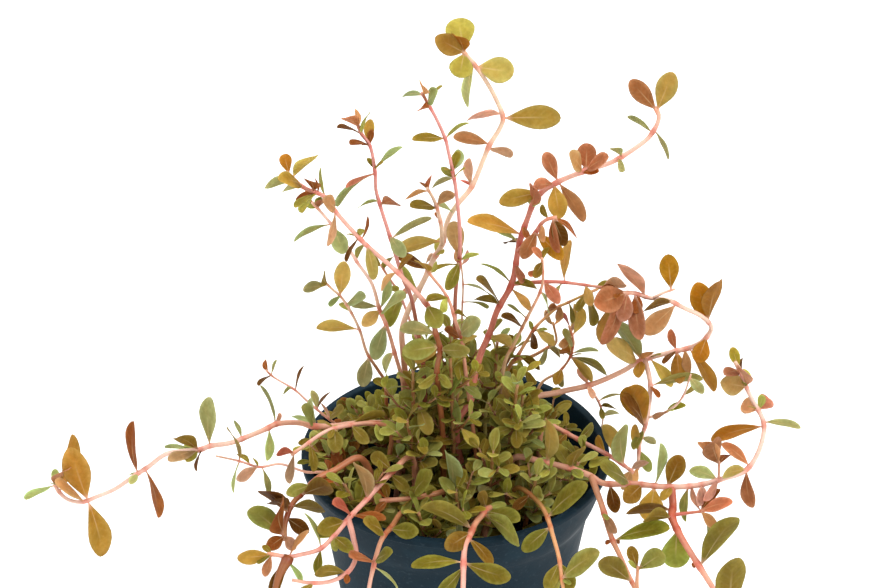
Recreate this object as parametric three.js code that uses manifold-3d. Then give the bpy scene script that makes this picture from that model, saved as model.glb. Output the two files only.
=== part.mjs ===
// Rotala H'ra: a bunch of red-stemmed aquarium plant shoots in a small plastic pot.
// Millimetres, +Z up. The origin is the centre of the pot's underside.
import * as THREE from "three";
import { mergeVertices } from "three/addons/utils/BufferGeometryUtils.js";
import Module from "manifold-3d";

// Driving dimensions of the pot
const POT_HEIGHT = 51;
const RIM_RADIUS = 26;
const LIP_HEIGHT = 1.2;
const LIP_OVERHANG = 0.4;
const COLLAR_RADIUS = 24.2;
const COLLAR_FOOT = 44;
const SHOULDER_RADIUS = 22.9;
const SHOULDER_FOOT = 42;
const BASE_RADIUS = 16.5;
const WALL = 1.0;
const FLOOR = 1.4;
const POT_SIDES = 24;

// The fibrous plug that fills the pot
const FIT_GAP = 0.32;
const MEDIUM_TOP = 40;
const MEDIUM_EDGE = 38;
const EDGE_DROP = 0.6;

// The upright view in which the shoots' routes are read: 2362 view units per millimetre
// of width at one millimetre from the eye, with the middle of the view at (440, 294).
const EYE = new THREE.Vector3(-2.6, -327.7, 279.4);
const EYE_TILT = THREE.MathUtils.degToRad(31.1);
const VIEW_REACH = 2362;
const VIEW_MIDDLE = [440, 294];

// Habit of the plant
const STEP_LENGTH = 8;
const THIN_GIRTH = 1.05;
const LEAF_PROPORTION = 0.44;
const LEAF_HALF_THICKNESS = 0.2;
const LEAF_BOW = 0.06;
const LEAF_CROWN = 0.6;
const SHORTEST_LEAF = 5.7;
const SMALL_LEAF = 7;
const STEP_SAMPLES = 12;
const DEPTH_NUDGES = [0, 2, -2, 4, -4];
const CLEARANCE = 0.1;
const FOOT_GAP = 0.45;
const LOW_GIRTH = 0.9;
const LOW_BEND = 0.12;
const LOW_PAIRS = [0.6, 0.97];
const LOW_LEAF_LENGTH = 6;
const LOW_LEAF_TAPER = 0.25;
const LOW_LEAF_WIDTH = 3.2;
const LOW_LEAF_RISE = 0.45;
const LOW_TURN = 0.7;

// Leaf outlines: shares of the length and of half the width, from the base round the tip
const ROUND_OUTLINE = [[0, 0], [0.58, 1], [0.88, 0.72], [1, 0], [0.88, -0.72], [0.58, -1]];
const SMALL_OUTLINE = [[0, 0], [0.62, 1], [1, 0], [0.62, -1]];

const wasm = await Module();
wasm.setup();

const shoot = (name, foot, stems) => ({ name, foot, stems });
const stem = (girth, route, leaves) => ({ girth, route, leaves });

// Long shoots. Each has its name, the place of its foot on the plug in millimetres, and its
// stems: the main one first, then the side twigs. A stem has its girth in millimetres, the
// points of its route and its leaves. A route point is where the view shows it (across, down)
// and how far it lies behind the pot's axis in millimetres. A leaf is the view's place of its
// base and of its tip, its width there, and how far its tip leans back in millimetres.
const SHOOTS = [
  shoot("crown_shoot", [-6, 3], [
    stem(1.2, [
      [403, 352, 2], [402, 330, 2], [408, 311, 2], [416, 295, 2], [425, 278, 2], [433, 260, 3],
      [442, 245, 3], [448, 220, 4], [457, 205, 4], [471, 188, 5], [484, 158, 6], [489, 146, 6],
      [500, 128, 7], [503, 118, 7], [495, 97, 7], [482, 75, 6], [474, 64, 6], [462, 50, 5]
    ], [
      [462, 48, 458, 18, 30, 4], [460, 47, 435, 37, 22, -3], [461, 50, 455, 36, 12, -5],
      [463, 51, 459, 78, 25, -2], [476, 66, 514, 72, 27, 1], [472, 66, 468, 108, 10, 2],
      [506, 117, 561, 118, 25, 0], [502, 113, 467, 120, 8, 4], [486, 144, 453, 137, 13, 2],
      [491, 150, 511, 158, 10, 4], [473, 186, 469, 158, 10, 3], [470, 188, 461, 180, 4, 3],
      [441, 242, 396, 252, 15, -3], [427, 271, 398, 259, 12, -3], [418, 290, 402, 266, 10, 4],
      [436, 256, 425, 266, 5, 4]
    ]),
    stem(0.8, [
      [442, 243, 3], [441, 225, 1], [437, 208, 0], [433, 198, -1], [427, 188, -2]
    ], [
      [428, 190, 432, 175, 5, 4], [427, 189, 419, 182, 4, 3], [428, 192, 405, 200, 5, -4],
      [436, 208, 410, 207, 11, -4], [438, 206, 452, 212, 6, 4], [438, 206, 453, 192, 12, -2],
      [441, 222, 434, 214, 5, 3]
    ]),
  ]),
  shoot("tall_red_shoot", [2, 2], [
    stem(0.9, [
      [455, 330, 0], [456, 287, 0], [459, 265, -1], [460, 235, -2], [456, 190, -3], [454, 178, -3],
      [448, 150, -4], [446, 141, -4], [437, 120, -5], [427, 102, -5], [422, 93, -6]
    ], [
      [423, 96, 421, 84, 8, -4], [423, 97, 402, 97, 6, 3], [430, 104, 438, 91, 12, -4],
      [430, 104, 443, 86, 3, 3], [431, 108, 420, 110, 7, -4], [445, 138, 412, 140, 10, -2],
      [447, 139, 470, 123, 4, 3], [453, 172, 460, 150, 12, 4], [454, 178, 432, 188, 6, -4],
      [460, 256, 453, 221, 18, 4], [458, 262, 446, 290, 13, -4], [459, 263, 433, 271, 4, -3],
      [460, 262, 480, 254, 5, 3]
    ]),
  ]),
  shoot("upright_red_shoot", [-5, -2], [
    stem(0.9, [
      [424, 372, -3], [417, 327, -4], [410, 294, -5], [404, 281, -5], [391, 240, -6], [380, 205, -7],
      [376, 190, -7], [375, 172, -8], [370, 146, -8], [361, 133, -9], [357, 123, -9]
    ], [
      [358, 125, 345, 118, 11, -4], [358, 124, 356, 109, 6, 3], [361, 133, 337, 128, 4, 3],
      [361, 133, 370, 113, 4, -2], [369, 145, 370, 119, 11, 3], [369, 146, 350, 145, 6, -4],
      [375, 171, 403, 147, 6, 2], [375, 172, 346, 188, 5, -3], [375, 173, 338, 207, 5, 2],
      [380, 205, 397, 203, 12, -5], [377, 201, 358, 208, 4, -4], [391, 238, 432, 218, 8, 2],
      [392, 236, 405, 257, 14, -4]
    ]),
  ]),
  shoot("dark_red_shoot", [-7, 7], [
    stem(0.7, [
      [424, 365, 6], [411, 324, 6], [399, 293, 6], [387, 275, 6], [381, 265, 5]
    ], [
      [382, 267, 371, 253, 7, 3], [383, 269, 393, 257, 7, -3], [399, 293, 386, 288, 8, -4],
      [400, 294, 412, 289, 8, 4], [402, 297, 391, 327, 16, 4]
    ]),
  ]),
  shoot("left_leaning_shoot", [-2, -7], [
    stem(1.1, [
      [443, 444, -6], [441, 413, -6], [438, 388, -6], [437, 368, -7], [440, 351, -7], [435, 330, -8],
      [432, 313, -8], [422, 299, -9], [396, 271, -10], [372, 250, -11], [362, 241, -12], [336, 212, -13],
      [325, 197, -13], [303, 187, -14], [286, 172, -14]
    ], [
      [288, 175, 284, 154, 13, 4], [292, 177, 315, 156, 11, -4], [294, 180, 265, 187, 10, -4],
      [302, 188, 278, 180, 14, -5], [313, 192, 308, 181, 13, -5], [316, 194, 295, 208, 7, -4],
      [318, 195, 303, 213, 6, 3], [303, 187, 283, 191, 8, 3], [325, 197, 321, 167, 4, 3],
      [338, 211, 322, 199, 14, -4], [334, 212, 327, 246, 8, -4], [357, 238, 347, 262, 5, -4],
      [365, 245, 374, 280, 13, -2], [363, 240, 368, 216, 4, 3], [396, 271, 381, 289, 8, -5],
      [397, 271, 413, 256, 7, 4], [428, 303, 440, 328, 20, -4], [424, 301, 446, 297, 9, -4],
      [434, 334, 400, 328, 15, -2], [437, 345, 402, 352, 22, -3], [438, 347, 417, 364, 14, 3],
      [440, 350, 470, 350, 15, -3], [438, 372, 418, 386, 10, -4], [439, 372, 452, 386, 10, -4]
    ]),
  ]),
  shoot("left_companion_shoot", [-9, 0], [
    stem(0.85, [
      [403, 385, -1], [400, 371, -1], [395, 354, -2], [390, 336, -2], [385, 322, -3], [380, 311, -3],
      [372, 284, -4], [357, 262, -5], [349, 249, -5], [332, 225, -6], [320, 211, -6], [312, 202, -6]
    ], [
      [313, 203, 305, 191, 7, 3], [316, 207, 330, 199, 6, -4], [331, 224, 294, 242, 6, -2],
      [333, 227, 344, 254, 17, -3], [380, 310, 362, 326, 14, -4], [384, 324, 374, 360, 17, -2],
      [378, 306, 352, 307, 8, 2], [381, 308, 389, 280, 9, 3], [383, 312, 406, 298, 12, -6],
      [395, 352, 387, 376, 8, 3], [357, 262, 364, 244, 7, 4]
    ]),
  ]),
  shoot("small_left_shoot", [-12.5, 6], [
    stem(0.75, [
      [385, 383, 3], [378, 370, 2], [367, 353, 1], [360, 331, 0], [352, 314, -1], [341, 297, -2],
      [331, 288, -2], [325, 282, -2]
    ], [
      [325, 283, 303, 289, 11, -3], [327, 284, 324, 275, 9, -4], [341, 296, 344, 261, 17, 1],
      [341, 297, 331, 307, 7, -4], [348, 305, 366, 298, 12, -4], [351, 313, 340, 303, 8, 3],
      [360, 331, 316, 328, 12, -1], [369, 357, 362, 387, 16, -3]
    ]),
  ]),
  shoot("right_leaning_shoot", [3, -3], [
    stem(1.3, [
      [457, 424, -3], [471, 400, -1], [473, 385, 1], [481, 353, 3], [489, 335, 4], [497, 311, 5],
      [512, 283, 6], [519, 245, 8], [527, 220, 9], [537, 197, 10], [556, 183, 10], [585, 171, 11],
      [612, 162, 12], [637, 147, 13], [650, 136, 14], [659, 117, 14], [655, 107, 15]
    ], [
      [655, 108, 630, 80, 19, 2], [656, 106, 673, 72, 22, 0], [652, 133, 627, 117, 6, 3],
      [653, 131, 668, 160, 5, -2], [621, 159, 613, 148, 9, -3], [621, 160, 625, 171, 8, -4],
      [585, 170, 587, 143, 20, 3], [583, 171, 569, 153, 14, -4], [586, 170, 609, 157, 13, -4],
      [557, 182, 545, 152, 15, 3], [556, 183, 533, 186, 13, -4], [558, 184, 584, 222, 15, -3],
      [555, 184, 560, 219, 20, -5], [541, 192, 499, 203, 18, -2], [535, 209, 533, 186, 13, -4],
      [521, 236, 467, 222, 15, -2], [519, 243, 486, 226, 9, 3], [519, 242, 506, 244, 4, 4],
      [526, 226, 525, 238, 8, -4], [511, 283, 480, 264, 4, 2], [511, 287, 530, 311, 9, -2],
      [512, 286, 536, 287, 9, -4], [515, 262, 521, 284, 9, -4], [499, 305, 476, 280, 6, -4],
      [499, 307, 475, 299, 9, -4], [489, 335, 503, 320, 6, 4]
    ]),
    stem(0.9, [
      [519, 252, 8], [527, 243, 6], [536, 232, 5], [541, 224, 4], [548, 219, 3], [557, 217, 3]
    ], [
      [557, 217, 565, 246, 16, -3], [556, 218, 559, 253, 10, -4], [557, 217, 577, 238, 6, 3],
      [541, 224, 545, 242, 8, -4], [536, 234, 562, 260, 16, -4], [539, 232, 522, 259, 15, -3],
      [549, 219, 541, 205, 7, 3]
    ]),
    stem(0.8, [
      [512, 284, 6], [525, 283, 6], [540, 282, 5], [560, 282, 5], [585, 285, 5], [606, 288, 5]
    ], [
      [565, 283, 571, 240, 10, 2], [606, 288, 625, 284, 12, -4], [545, 283, 559, 304, 13, -4],
      [585, 285, 592, 306, 11, -4], [563, 283, 556, 297, 5, 4]
    ]),
  ]),
  shoot("right_inner_shoot", [7, 3], [
    stem(0.8, [
      [505, 362, 3], [514, 344, 3], [526, 320, 2], [540, 292, 1], [543, 280, 0], [542, 258, -1]
    ], [
      [542, 260, 533, 277, 10, -4], [542, 270, 530, 277, 7, -4], [542, 259, 548, 247, 6, 3],
      [542, 262, 533, 247, 8, 3], [526, 320, 507, 305, 3, 3], [522, 326, 501, 317, 8, -3],
      [511, 349, 495, 335, 13, -4], [512, 349, 520, 333, 9, 3], [541, 291, 548, 312, 3, 3]
    ]),
  ]),
  shoot("tan_shoot", [9, 8], [
    stem(0.8, [
      [508, 370, 7], [517, 357, 7], [526, 342, 8], [536, 327, 8], [545, 318, 9], [558, 307, 9],
      [567, 303, 10], [586, 294, 10], [598, 289, 11]
    ], [
      [536, 328, 554, 346, 10, -3], [534, 331, 538, 348, 8, -5], [558, 307, 546, 314, 7, -5],
      [559, 307, 563, 319, 10, -5], [568, 302, 571, 323, 5, -4], [586, 294, 590, 325, 9, 3],
      [598, 289, 613, 283, 8, 3], [519, 354, 540, 369, 9, -4], [515, 360, 496, 352, 8, -3],
      [587, 294, 578, 312, 9, -4]
    ]),
    stem(0.7, [
      [515, 360, 7], [530, 357, 8], [547, 348, 9], [556, 343, 10], [553, 322, 11]
    ], [
      [553, 323, 545, 310, 6, 3], [553, 322, 562, 309, 6, 3], [547, 348, 538, 364, 7, -4],
      [548, 347, 560, 356, 7, -4]
    ]),
  ]),
  shoot("right_red_shoot", [13, 5], [
    stem(0.7, [
      [540, 385, 9], [560, 371, 10], [571, 355, 10], [573, 340, 10], [569, 326, 10]
    ], [
      [569, 327, 561, 315, 4, 5], [570, 327, 574, 303, 5, 3], [571, 337, 558, 345, 10, -4],
      [573, 348, 562, 333, 9, -4], [572, 354, 599, 351, 5, 2], [570, 357, 592, 382, 10, -3],
      [571, 356, 607, 375, 8, 2], [561, 370, 555, 385, 11, -4], [562, 370, 564, 386, 6, 2],
      [571, 352, 568, 334, 8, 4], [571, 355, 559, 352, 9, -4], [571, 337, 583, 308, 12, 4],
      [570, 332, 580, 319, 7, 4]
    ]),
  ]),
  shoot("yellow_green_shoot", [6, -1], [
    stem(0.8, [
      [488, 402, 1], [502, 385, 2], [517, 375, 3], [528, 370, 3]
    ], [
      [528, 370, 541, 362, 7, 0], [528, 371, 537, 383, 9, -4], [517, 375, 511, 389, 9, -4],
      [517, 374, 521, 361, 7, 3], [503, 384, 496, 371, 8, 1], [503, 386, 511, 400, 9, -4]
    ]),
  ]),
  shoot("hairpin_shoot", [12, 1], [
    stem(1.2, [
      [524, 404, 5], [560, 392, 7], [590, 385, 8], [623, 371, 11], [640, 361, 12], [676, 351, 12],
      [689, 348, 12], [704, 340, 11], [710, 332, 11], [711, 326, 10], [701, 316, 8], [684, 308, 6],
      [668, 300, 5], [650, 298, 4], [633, 293, 3], [616, 293, 2]
    ], [
      [708, 322, 697, 282, 24, 2], [709, 322, 719, 281, 17, -3], [706, 338, 697, 363, 18, -4],
      [689, 349, 714, 392, 13, -3], [676, 351, 680, 384, 16, -4], [686, 350, 690, 373, 10, -4],
      [678, 350, 670, 329, 9, 3], [675, 352, 664, 364, 6, -4], [645, 296, 620, 264, 14, -3],
      [677, 306, 644, 334, 20, -3], [674, 303, 643, 312, 8, -5], [628, 297, 594, 305, 28, -4],
      [618, 293, 602, 345, 15, -3], [634, 294, 641, 340, 18, -5], [628, 296, 622, 322, 18, -3],
      [638, 295, 636, 314, 12, -3], [640, 361, 612, 320, 16, -3], [638, 361, 606, 345, 20, -5],
      [616, 293, 606, 344, 14, 2], [640, 361, 639, 378, 12, -5], [588, 386, 592, 399, 8, -4],
      [590, 385, 578, 368, 9, 3], [650, 360, 672, 387, 12, -3], [642, 361, 653, 352, 7, -3]
    ]),
    stem(0.6, [
      [651, 298, 4], [663, 293, 4], [675, 289, 4]
    ], [
      [675, 289, 668, 254, 20, 2]
    ]),
    stem(0.95, [
      [645, 360, 12], [650, 381, 8], [650, 396, 5], [647, 420, 1], [640, 443, -2], [638, 470, -5]
    ], [
      [645, 424, 630, 386, 29, -3], [643, 430, 621, 399, 11, -4], [640, 452, 635, 424, 9, 3],
      [644, 430, 634, 450, 9, -4], [640, 448, 650, 472, 11, -2], [645, 436, 656, 444, 8, 1],
      [650, 386, 658, 398, 6, -4], [650, 387, 703, 380, 10, 2], [638, 468, 630, 486, 9, -3]
    ]),
    stem(0.5, [
      [649, 418, 1], [668, 411, 1], [682, 398, 1], [691, 374, 2]
    ], [
      [668, 411, 685, 404, 8, 3], [665, 412, 655, 420, 7, -4], [690, 378, 703, 394, 11, -4],
      [683, 397, 697, 388, 5, 3]
    ]),
    stem(0.5, [
      [590, 386, 8], [594, 394, 8], [600, 405, 9], [603, 418, 9], [601, 430, 9]
    ], [
      [604, 415, 619, 413, 6, 3], [602, 407, 616, 409, 5, -4], [599, 400, 622, 394, 4, 3]
    ]),
  ]),
  shoot("long_right_shoot", [9, -7], [
    stem(1.2, [
      [514, 458, -9], [546, 463, -11], [569, 468, -12], [591, 476, -13], [602, 483, -14], [635, 484, -16],
      [669, 487, -18], [699, 485, -18], [722, 479, -18], [745, 471, -17], [757, 455, -16], [764, 431, -14],
      [763, 420, -13], [753, 401, -11], [748, 391, -10], [741, 373, -9], [735, 362, -9]
    ], [
      [739, 369, 732, 347, 11, 3], [740, 372, 724, 375, 11, -4], [742, 374, 742, 358, 6, 4],
      [747, 388, 720, 382, 23, -3], [747, 389, 741, 368, 12, -4], [758, 412, 742, 403, 18, 3],
      [758, 412, 769, 398, 18, 4], [764, 424, 801, 428, 8, -2], [762, 426, 711, 441, 14, 1],
      [748, 467, 722, 443, 12, 4], [746, 469, 723, 475, 12, -4], [748, 473, 752, 508, 14, -2],
      [668, 485, 681, 455, 20, 3], [720, 481, 690, 469, 14, 4], [718, 482, 703, 500, 9, -4],
      [655, 484, 660, 443, 9, 2], [610, 486, 616, 513, 14, -4], [642, 486, 624, 502, 19, -4],
      [654, 487, 649, 522, 26, -4], [690, 487, 686, 522, 9, -2], [700, 486, 698, 506, 9, -4],
      [670, 487, 663, 501, 10, -4], [548, 462, 548, 420, 15, -2], [628, 484, 600, 467, 17, -5],
      [570, 468, 556, 444, 13, 3], [571, 469, 582, 448, 12, -4]
    ]),
    stem(0.5, [
      [719, 479, -18], [719, 470, -18], [719, 461, -18]
    ], [
      [719, 462, 702, 442, 16, -3], [719, 463, 713, 441, 21, -4], [719, 463, 729, 455, 8, 4]
    ]),
    stem(1.3, [
      [671, 487, -18], [673, 505, -20], [672, 517, -23], [680, 535, -26], [694, 558, -30], [713, 588, -34],
      [735, 625, -39], [745, 648, -41]
    ], [
      [672, 509, 627, 512, 12, -4], [676, 529, 675, 568, 29, -3], [672, 517, 646, 519, 14, -5],
      [700, 565, 736, 517, 22, -1], [698, 561, 692, 566, 6, 1], [730, 616, 735, 558, 29, -1],
      [724, 605, 700, 630, 18, -3], [744, 646, 768, 668, 20, -2], [744, 647, 738, 676, 16, -3]
    ]),
    stem(0.7, [
      [674, 515, -22], [688, 513, -22], [705, 511, -22]
    ], [
      [705, 511, 733, 502, 13, -2], [703, 512, 718, 527, 11, -4], [700, 511, 692, 486, 6, 4],
      [701, 511, 703, 486, 6, 5], [705, 511, 720, 489, 9, 3], [705, 512, 708, 537, 3, 2]
    ]),
    stem(1.1, [
      [592, 477, -13], [602, 506, -18], [611, 536, -22], [621, 558, -26], [630, 578, -28], [637, 594, -30],
      [642, 615, -33]
    ], [
      [631, 583, 601, 559, 22, -2], [611, 540, 605, 543, 5, 1], [612, 540, 620, 542, 5, 1],
      [606, 512, 617, 533, 10, -4], [611, 540, 670, 529, 17, -3], [640, 612, 622, 636, 17, -2],
      [642, 614, 662, 634, 17, -3]
    ]),
    stem(0.8, [
      [637, 593, -30], [637, 580, -31], [638, 567, -32]
    ], [
      [638, 568, 630, 546, 12, 3], [638, 568, 664, 553, 20, -3]
    ]),
  ]),
  shoot("slanting_pink_shoot", [14, -3], [
    stem(1.1, [
      [545, 422, -1], [557, 428, -1], [579, 440, -3], [608, 455, -6], [622, 464, -7], [634, 473, -8]
    ], [
      [622, 462, 605, 424, 16, 1], [624, 465, 622, 427, 18, -4], [608, 454, 597, 436, 9, 4],
      [608, 456, 590, 468, 10, -4], [633, 472, 622, 490, 12, -4], [579, 439, 593, 424, 10, 4],
      [634, 473, 648, 462, 8, 3], [566, 432, 556, 446, 10, -4]
    ]),
  ]),
  shoot("front_right_shoot", [8, -13], [
    stem(1.0, [
      [516, 488, -14], [536, 500, -18], [546, 514, -22], [553, 536, -27], [559, 558, -31], [562, 580, -34],
      [566, 605, -37]
    ], [
      [549, 519, 588, 485, 21, -2], [548, 527, 522, 551, 17, -3], [560, 561, 572, 590, 17, -3],
      [560, 563, 546, 590, 15, -3], [561, 580, 600, 552, 21, -2], [565, 605, 552, 632, 17, -3],
      [566, 605, 586, 626, 17, -3], [530, 495, 545, 482, 9, 5], [529, 497, 512, 508, 10, -3]
    ]),
  ]),
  shoot("front_shoot", [3.5, -15], [
    stem(1.25, [
      [490, 508, -18], [475, 524, -23], [470, 535, -25.5], [465, 546, -28], [463, 588, -35],
      [461, 630, -41], [462, 655, -44]
    ], [
      [471, 530, 422, 506, 18, -2], [485, 515, 519, 543, 18, -9], [487, 512, 520, 521, 18, -5],
      [463, 563, 411, 567, 14, -2], [463, 568, 436, 596, 14, -4], [465, 562, 511, 578, 20, -2],
      [471, 540, 492, 566, 12, -4], [471, 532, 445, 549, 20, -5], [461, 630, 438, 652, 18, -3],
      [462, 631, 487, 646, 18, -3], [462, 654, 452, 684, 17, -3], [463, 654, 476, 683, 16, -3]
    ]),
  ]),
  shoot("front_left_shoot", [-6, -14], [
    stem(1.1, [
      [404, 512, -18], [392, 526, -23.4], [381, 541, -27.6], [372, 573, -31], [369, 588, -33],
      [365, 618, -37]
    ], [
      [390, 530, 419, 532, 17, -3], [385, 537, 363, 522, 14, -4], [374, 563, 393, 552, 12, -3],
      [374, 564, 349, 557, 9, -4], [375, 566, 398, 590, 4, -2], [366, 616, 343, 637, 16, -3],
      [366, 616, 384, 644, 16, -3]
    ]),
  ]),
  shoot("pale_front_shoot", [0, -12], [
    stem(1.3, [
      [452, 492, -16], [430, 495, -18], [414, 498, -18], [390, 500, -18], [376, 501, -17.5]
    ], [
      [415, 497, 433, 474, 16, -4], [450, 494, 453, 521, 12, -4], [451, 491, 447, 453, 16, -3],
      [390, 500, 385, 484, 9, 3], [414, 499, 402, 514, 9, -2], [380, 501, 366, 508, 7, 3]
    ]),
  ]),
  shoot("left_front_shoot", [-7, -9], [
    stem(1.15, [
      [411, 457, -10], [392, 472, -14], [368, 498, -19], [349, 518, -23], [334, 536, -26.5],
      [320, 549, -28.5], [299, 555, -30], [287, 557, -31], [277, 555, -31], [267, 554, -31]
    ], [
      [393, 471, 372, 453, 15, 3], [392, 474, 410, 490, 13, -4], [368, 499, 356, 464, 15, -3],
      [350, 517, 332, 504, 9, -4], [351, 516, 386, 520, 10, -2], [345, 522, 317, 531, 20, -3],
      [334, 536, 353, 553, 14, -4], [322, 548, 318, 576, 9, -3], [268, 554, 237, 558, 15, -2],
      [267, 555, 265, 577, 10, -3], [290, 556, 309, 530, 6, 3], [321, 548, 304, 513, 5, 4]
    ]),
    stem(1.7, [
      [287, 557, -31], [281, 572, -33], [276, 590, -35], [274, 615, -38]
    ], [
      [286, 560, 302, 583, 6, -2], [286, 562, 272, 598, 13, -4], [275, 600, 254, 620, 16, -3],
      [274, 613, 292, 642, 16, -3]
    ]),
    stem(0.95, [
      [349, 518, -23], [353, 536, -26.5], [356, 556, -29.5], [349, 571, -32], [332, 581, -33.5],
      [312, 583, -34], [292, 580, -34]
    ], [
      [347, 575, 315, 573, 13, -3], [313, 583, 297, 600, 10, -3]
    ]),
  ]),
  shoot("left_cluster_shoot", [-12, -8], [
    stem(1.4, [
      [360, 458, -10], [335, 470, -13], [318, 478, -15], [306, 490, -17], [293, 503, -20], [286, 520, -23],
      [284, 540, -26.5]
    ], [
      [284, 540, 250, 508, 22, -2], [287, 519, 309, 533, 15, -4], [287, 515, 261, 491, 14, -4],
      [285, 538, 283, 504, 16, -6], [285, 538, 266, 549, 14, -4], [300, 498, 331, 486, 20, -4],
      [311, 484, 286, 494, 14, -3], [292, 508, 324, 510, 12, -4], [290, 508, 269, 503, 9, -5],
      [284, 540, 296, 549, 12, -4]
    ]),
  ]),
  shoot("long_left_shoot", [-10, -2], [
    stem(1.15, [
      [395, 426, -2], [375, 423, -3], [350, 424, -3], [335, 426, -3], [311, 426, -3], [300, 423, -3],
      [276, 424, -4], [268, 428, -5], [249, 436, -6], [230, 443, -8], [210, 446, -9], [199, 450, -9],
      [184, 451, -10], [166, 454, -11], [148, 467, -12], [134, 476, -13], [115, 489, -13], [96, 497, -14],
      [82, 502, -14], [67, 499, -13], [57, 489, -12], [55, 482, -12]
    ], [
      [86, 499, 70, 447, 27, 1], [60, 493, 72, 434, 15, 4], [89, 503, 103, 556, 23, -2],
      [84, 502, 55, 484, 10, -5], [56, 482, 26, 500, 7, 2], [56, 484, 68, 470, 9, -4],
      [138, 472, 134, 421, 11, 2], [146, 468, 158, 518, 9, -2], [200, 450, 176, 438, 13, -4],
      [199, 453, 168, 461, 12, -4], [199, 451, 165, 448, 4, 3], [203, 453, 197, 471, 3, -4],
      [209, 446, 211, 397, 16, 1], [242, 437, 234, 420, 5, 3], [277, 421, 260, 385, 4, 3],
      [276, 422, 282, 416, 6, 4], [270, 428, 267, 461, 10, -3], [314, 425, 301, 407, 11, -4],
      [315, 425, 310, 398, 7, 3], [312, 424, 293, 416, 7, 4]
    ]),
  ]),
  shoot("pink_left_shoot", [-14, -5], [
    stem(1.0, [
      [390, 430, -7], [374, 423, -8], [350, 425, -9], [332, 429, -10], [321, 434, -11], [307, 444, -12],
      [291, 455, -13]
    ], [
      [291, 456, 277, 453, 9, -3], [291, 456, 290, 484, 9, -4], [334, 430, 336, 453, 17, -4],
      [352, 424, 386, 415, 9, 3], [374, 425, 380, 441, 9, -4], [352, 426, 369, 443, 13, -4],
      [310, 443, 313, 472, 9, -4]
    ]),
  ]),
  shoot("thin_left_shoot", [-16, -9], [
    stem(0.6, [
      [330, 474, -10], [306, 472, -10], [280, 464, -10], [260, 467, -11], [239, 461, -12], [216, 456, -13]
    ], [
      [257, 467, 236, 479, 12, -4], [240, 462, 234, 493, 3, -4], [240, 461, 227, 429, 4, -3],
      [250, 462, 237, 454, 6, 3], [261, 467, 268, 497, 7, -3]
    ]),
  ]),
  shoot("thin_back_left_shoot", [-16, 2], [
    stem(0.6, [
      [345, 432, 2], [338, 426, 2], [320, 412, 3], [306, 400, 4], [295, 390, 5], [272, 376, 7],
      [266, 370, 7]
    ], [
      [267, 374, 265, 360, 6, 3], [273, 376, 277, 360, 3, 3], [297, 390, 304, 366, 3, 2],
      [271, 378, 259, 386, 5, -4], [292, 389, 283, 395, 4, -4], [315, 409, 312, 390, 8, 3],
      [319, 409, 331, 392, 3, 3], [330, 419, 321, 403, 4, 3], [331, 420, 344, 410, 9, -4]
    ]),
  ]),
  shoot("thin_pale_shoot", [3.5, 8], [
    stem(0.55, [
      [463, 345, 7], [462, 315, 7], [463, 285, 7], [461, 262, 7]
    ], [
      [463, 283, 491, 296, 3, 3], [463, 302, 487, 309, 3, 4], [461, 263, 455, 251, 6, 3],
      [461, 263, 468, 250, 6, 3]
    ]),
  ]),
  shoot("inner_pink_shoot", [5, -6], [
    stem(0.85, [
      [463, 350, -5], [462, 341, -5], [455, 320, -6], [450, 303, -6], [442, 289, -7], [433, 278, -7],
      [427, 270, -7]
    ], [
      [427, 271, 417, 262, 7, -4], [428, 272, 437, 262, 6, 3], [460, 336, 481, 320, 18, -4],
      [454, 313, 466, 317, 6, -4], [446, 297, 440, 312, 9, -4], [464, 345, 474, 335, 11, -3],
      [461, 338, 444, 330, 9, 4]
    ]),
  ]),
];

const LOW_SHOOTS = [
  [-2, -1, -3, -1, 15], [-5, -5, -8, -9, 12], [5, -9, 6, -14, 9], [10, -2, 11, -3, 13],
  [-17, -1, -20, 0, 3], [-4, -17, -6, -22, 3], [1, -16, 0, -19, 5], [11, -11, 13, -15, 5],
  [-13, -14, -18, -17, 5], [16, -8, 20, -11, 5], [-17, -5, -21, -6, 6], [15, 0, 16, 1, 0],
  [-14, 8, -17, 9, 2], [-4, 9, -5, 10, 14], [4, 11, 5, 13, 9], [10, 10, 11, 11, -2], [-8, 12, -9, 13, -3],
  [0, 6, -1, 7, 19], [0, 15, 0, 17, 4], [13, 6, 17, 8, 1], [-9, 3, -12, 3, 6], [-7, -4, -7, -5, 19],
  [0, -4, -1, -6, 24], [6, 6, 7, 7, 17], [8, -4, 10, -6, 17]
];

// Surfaces
const plastic = (color) => new THREE.MeshStandardMaterial({ color, roughness: 0.42, metalness: 0 });
const fibre = (color) => new THREE.MeshStandardMaterial({ color, roughness: 0.95, metalness: 0 });
const plant = (color) => new THREE.MeshStandardMaterial({ color, roughness: 0.5, metalness: 0 });
const POT_COLOUR = 0x26384b;
const MEDIUM_COLOUR = 0x1d1712;
const SHOOT_COLOURS = [0xa08a3a, 0xb07a3c, 0x9a9a52, 0xa85f3c, 0xc08d78];
const LOW_COLOUR = 0x7f8a3c;

// The view's directions
const FORWARD = new THREE.Vector3(0, Math.cos(EYE_TILT), -Math.sin(EYE_TILT));
const UPWARD = new THREE.Vector3(0, Math.sin(EYE_TILT), Math.cos(EYE_TILT));
const ACROSS = new THREE.Vector3(1, 0, 0);

// The point that the view shows at (x, y), on the upright plane `back` behind the axis.
function seen(x, y, back) {
  const sight = FORWARD.clone()
    .addScaledVector(ACROSS, (x - VIEW_MIDDLE[0]) / VIEW_REACH)
    .addScaledVector(UPWARD, (VIEW_MIDDLE[1] - y) / VIEW_REACH);
  const reach = (back - EYE.y) / sight.y;
  return EYE.clone().addScaledVector(sight, reach);
}

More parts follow.
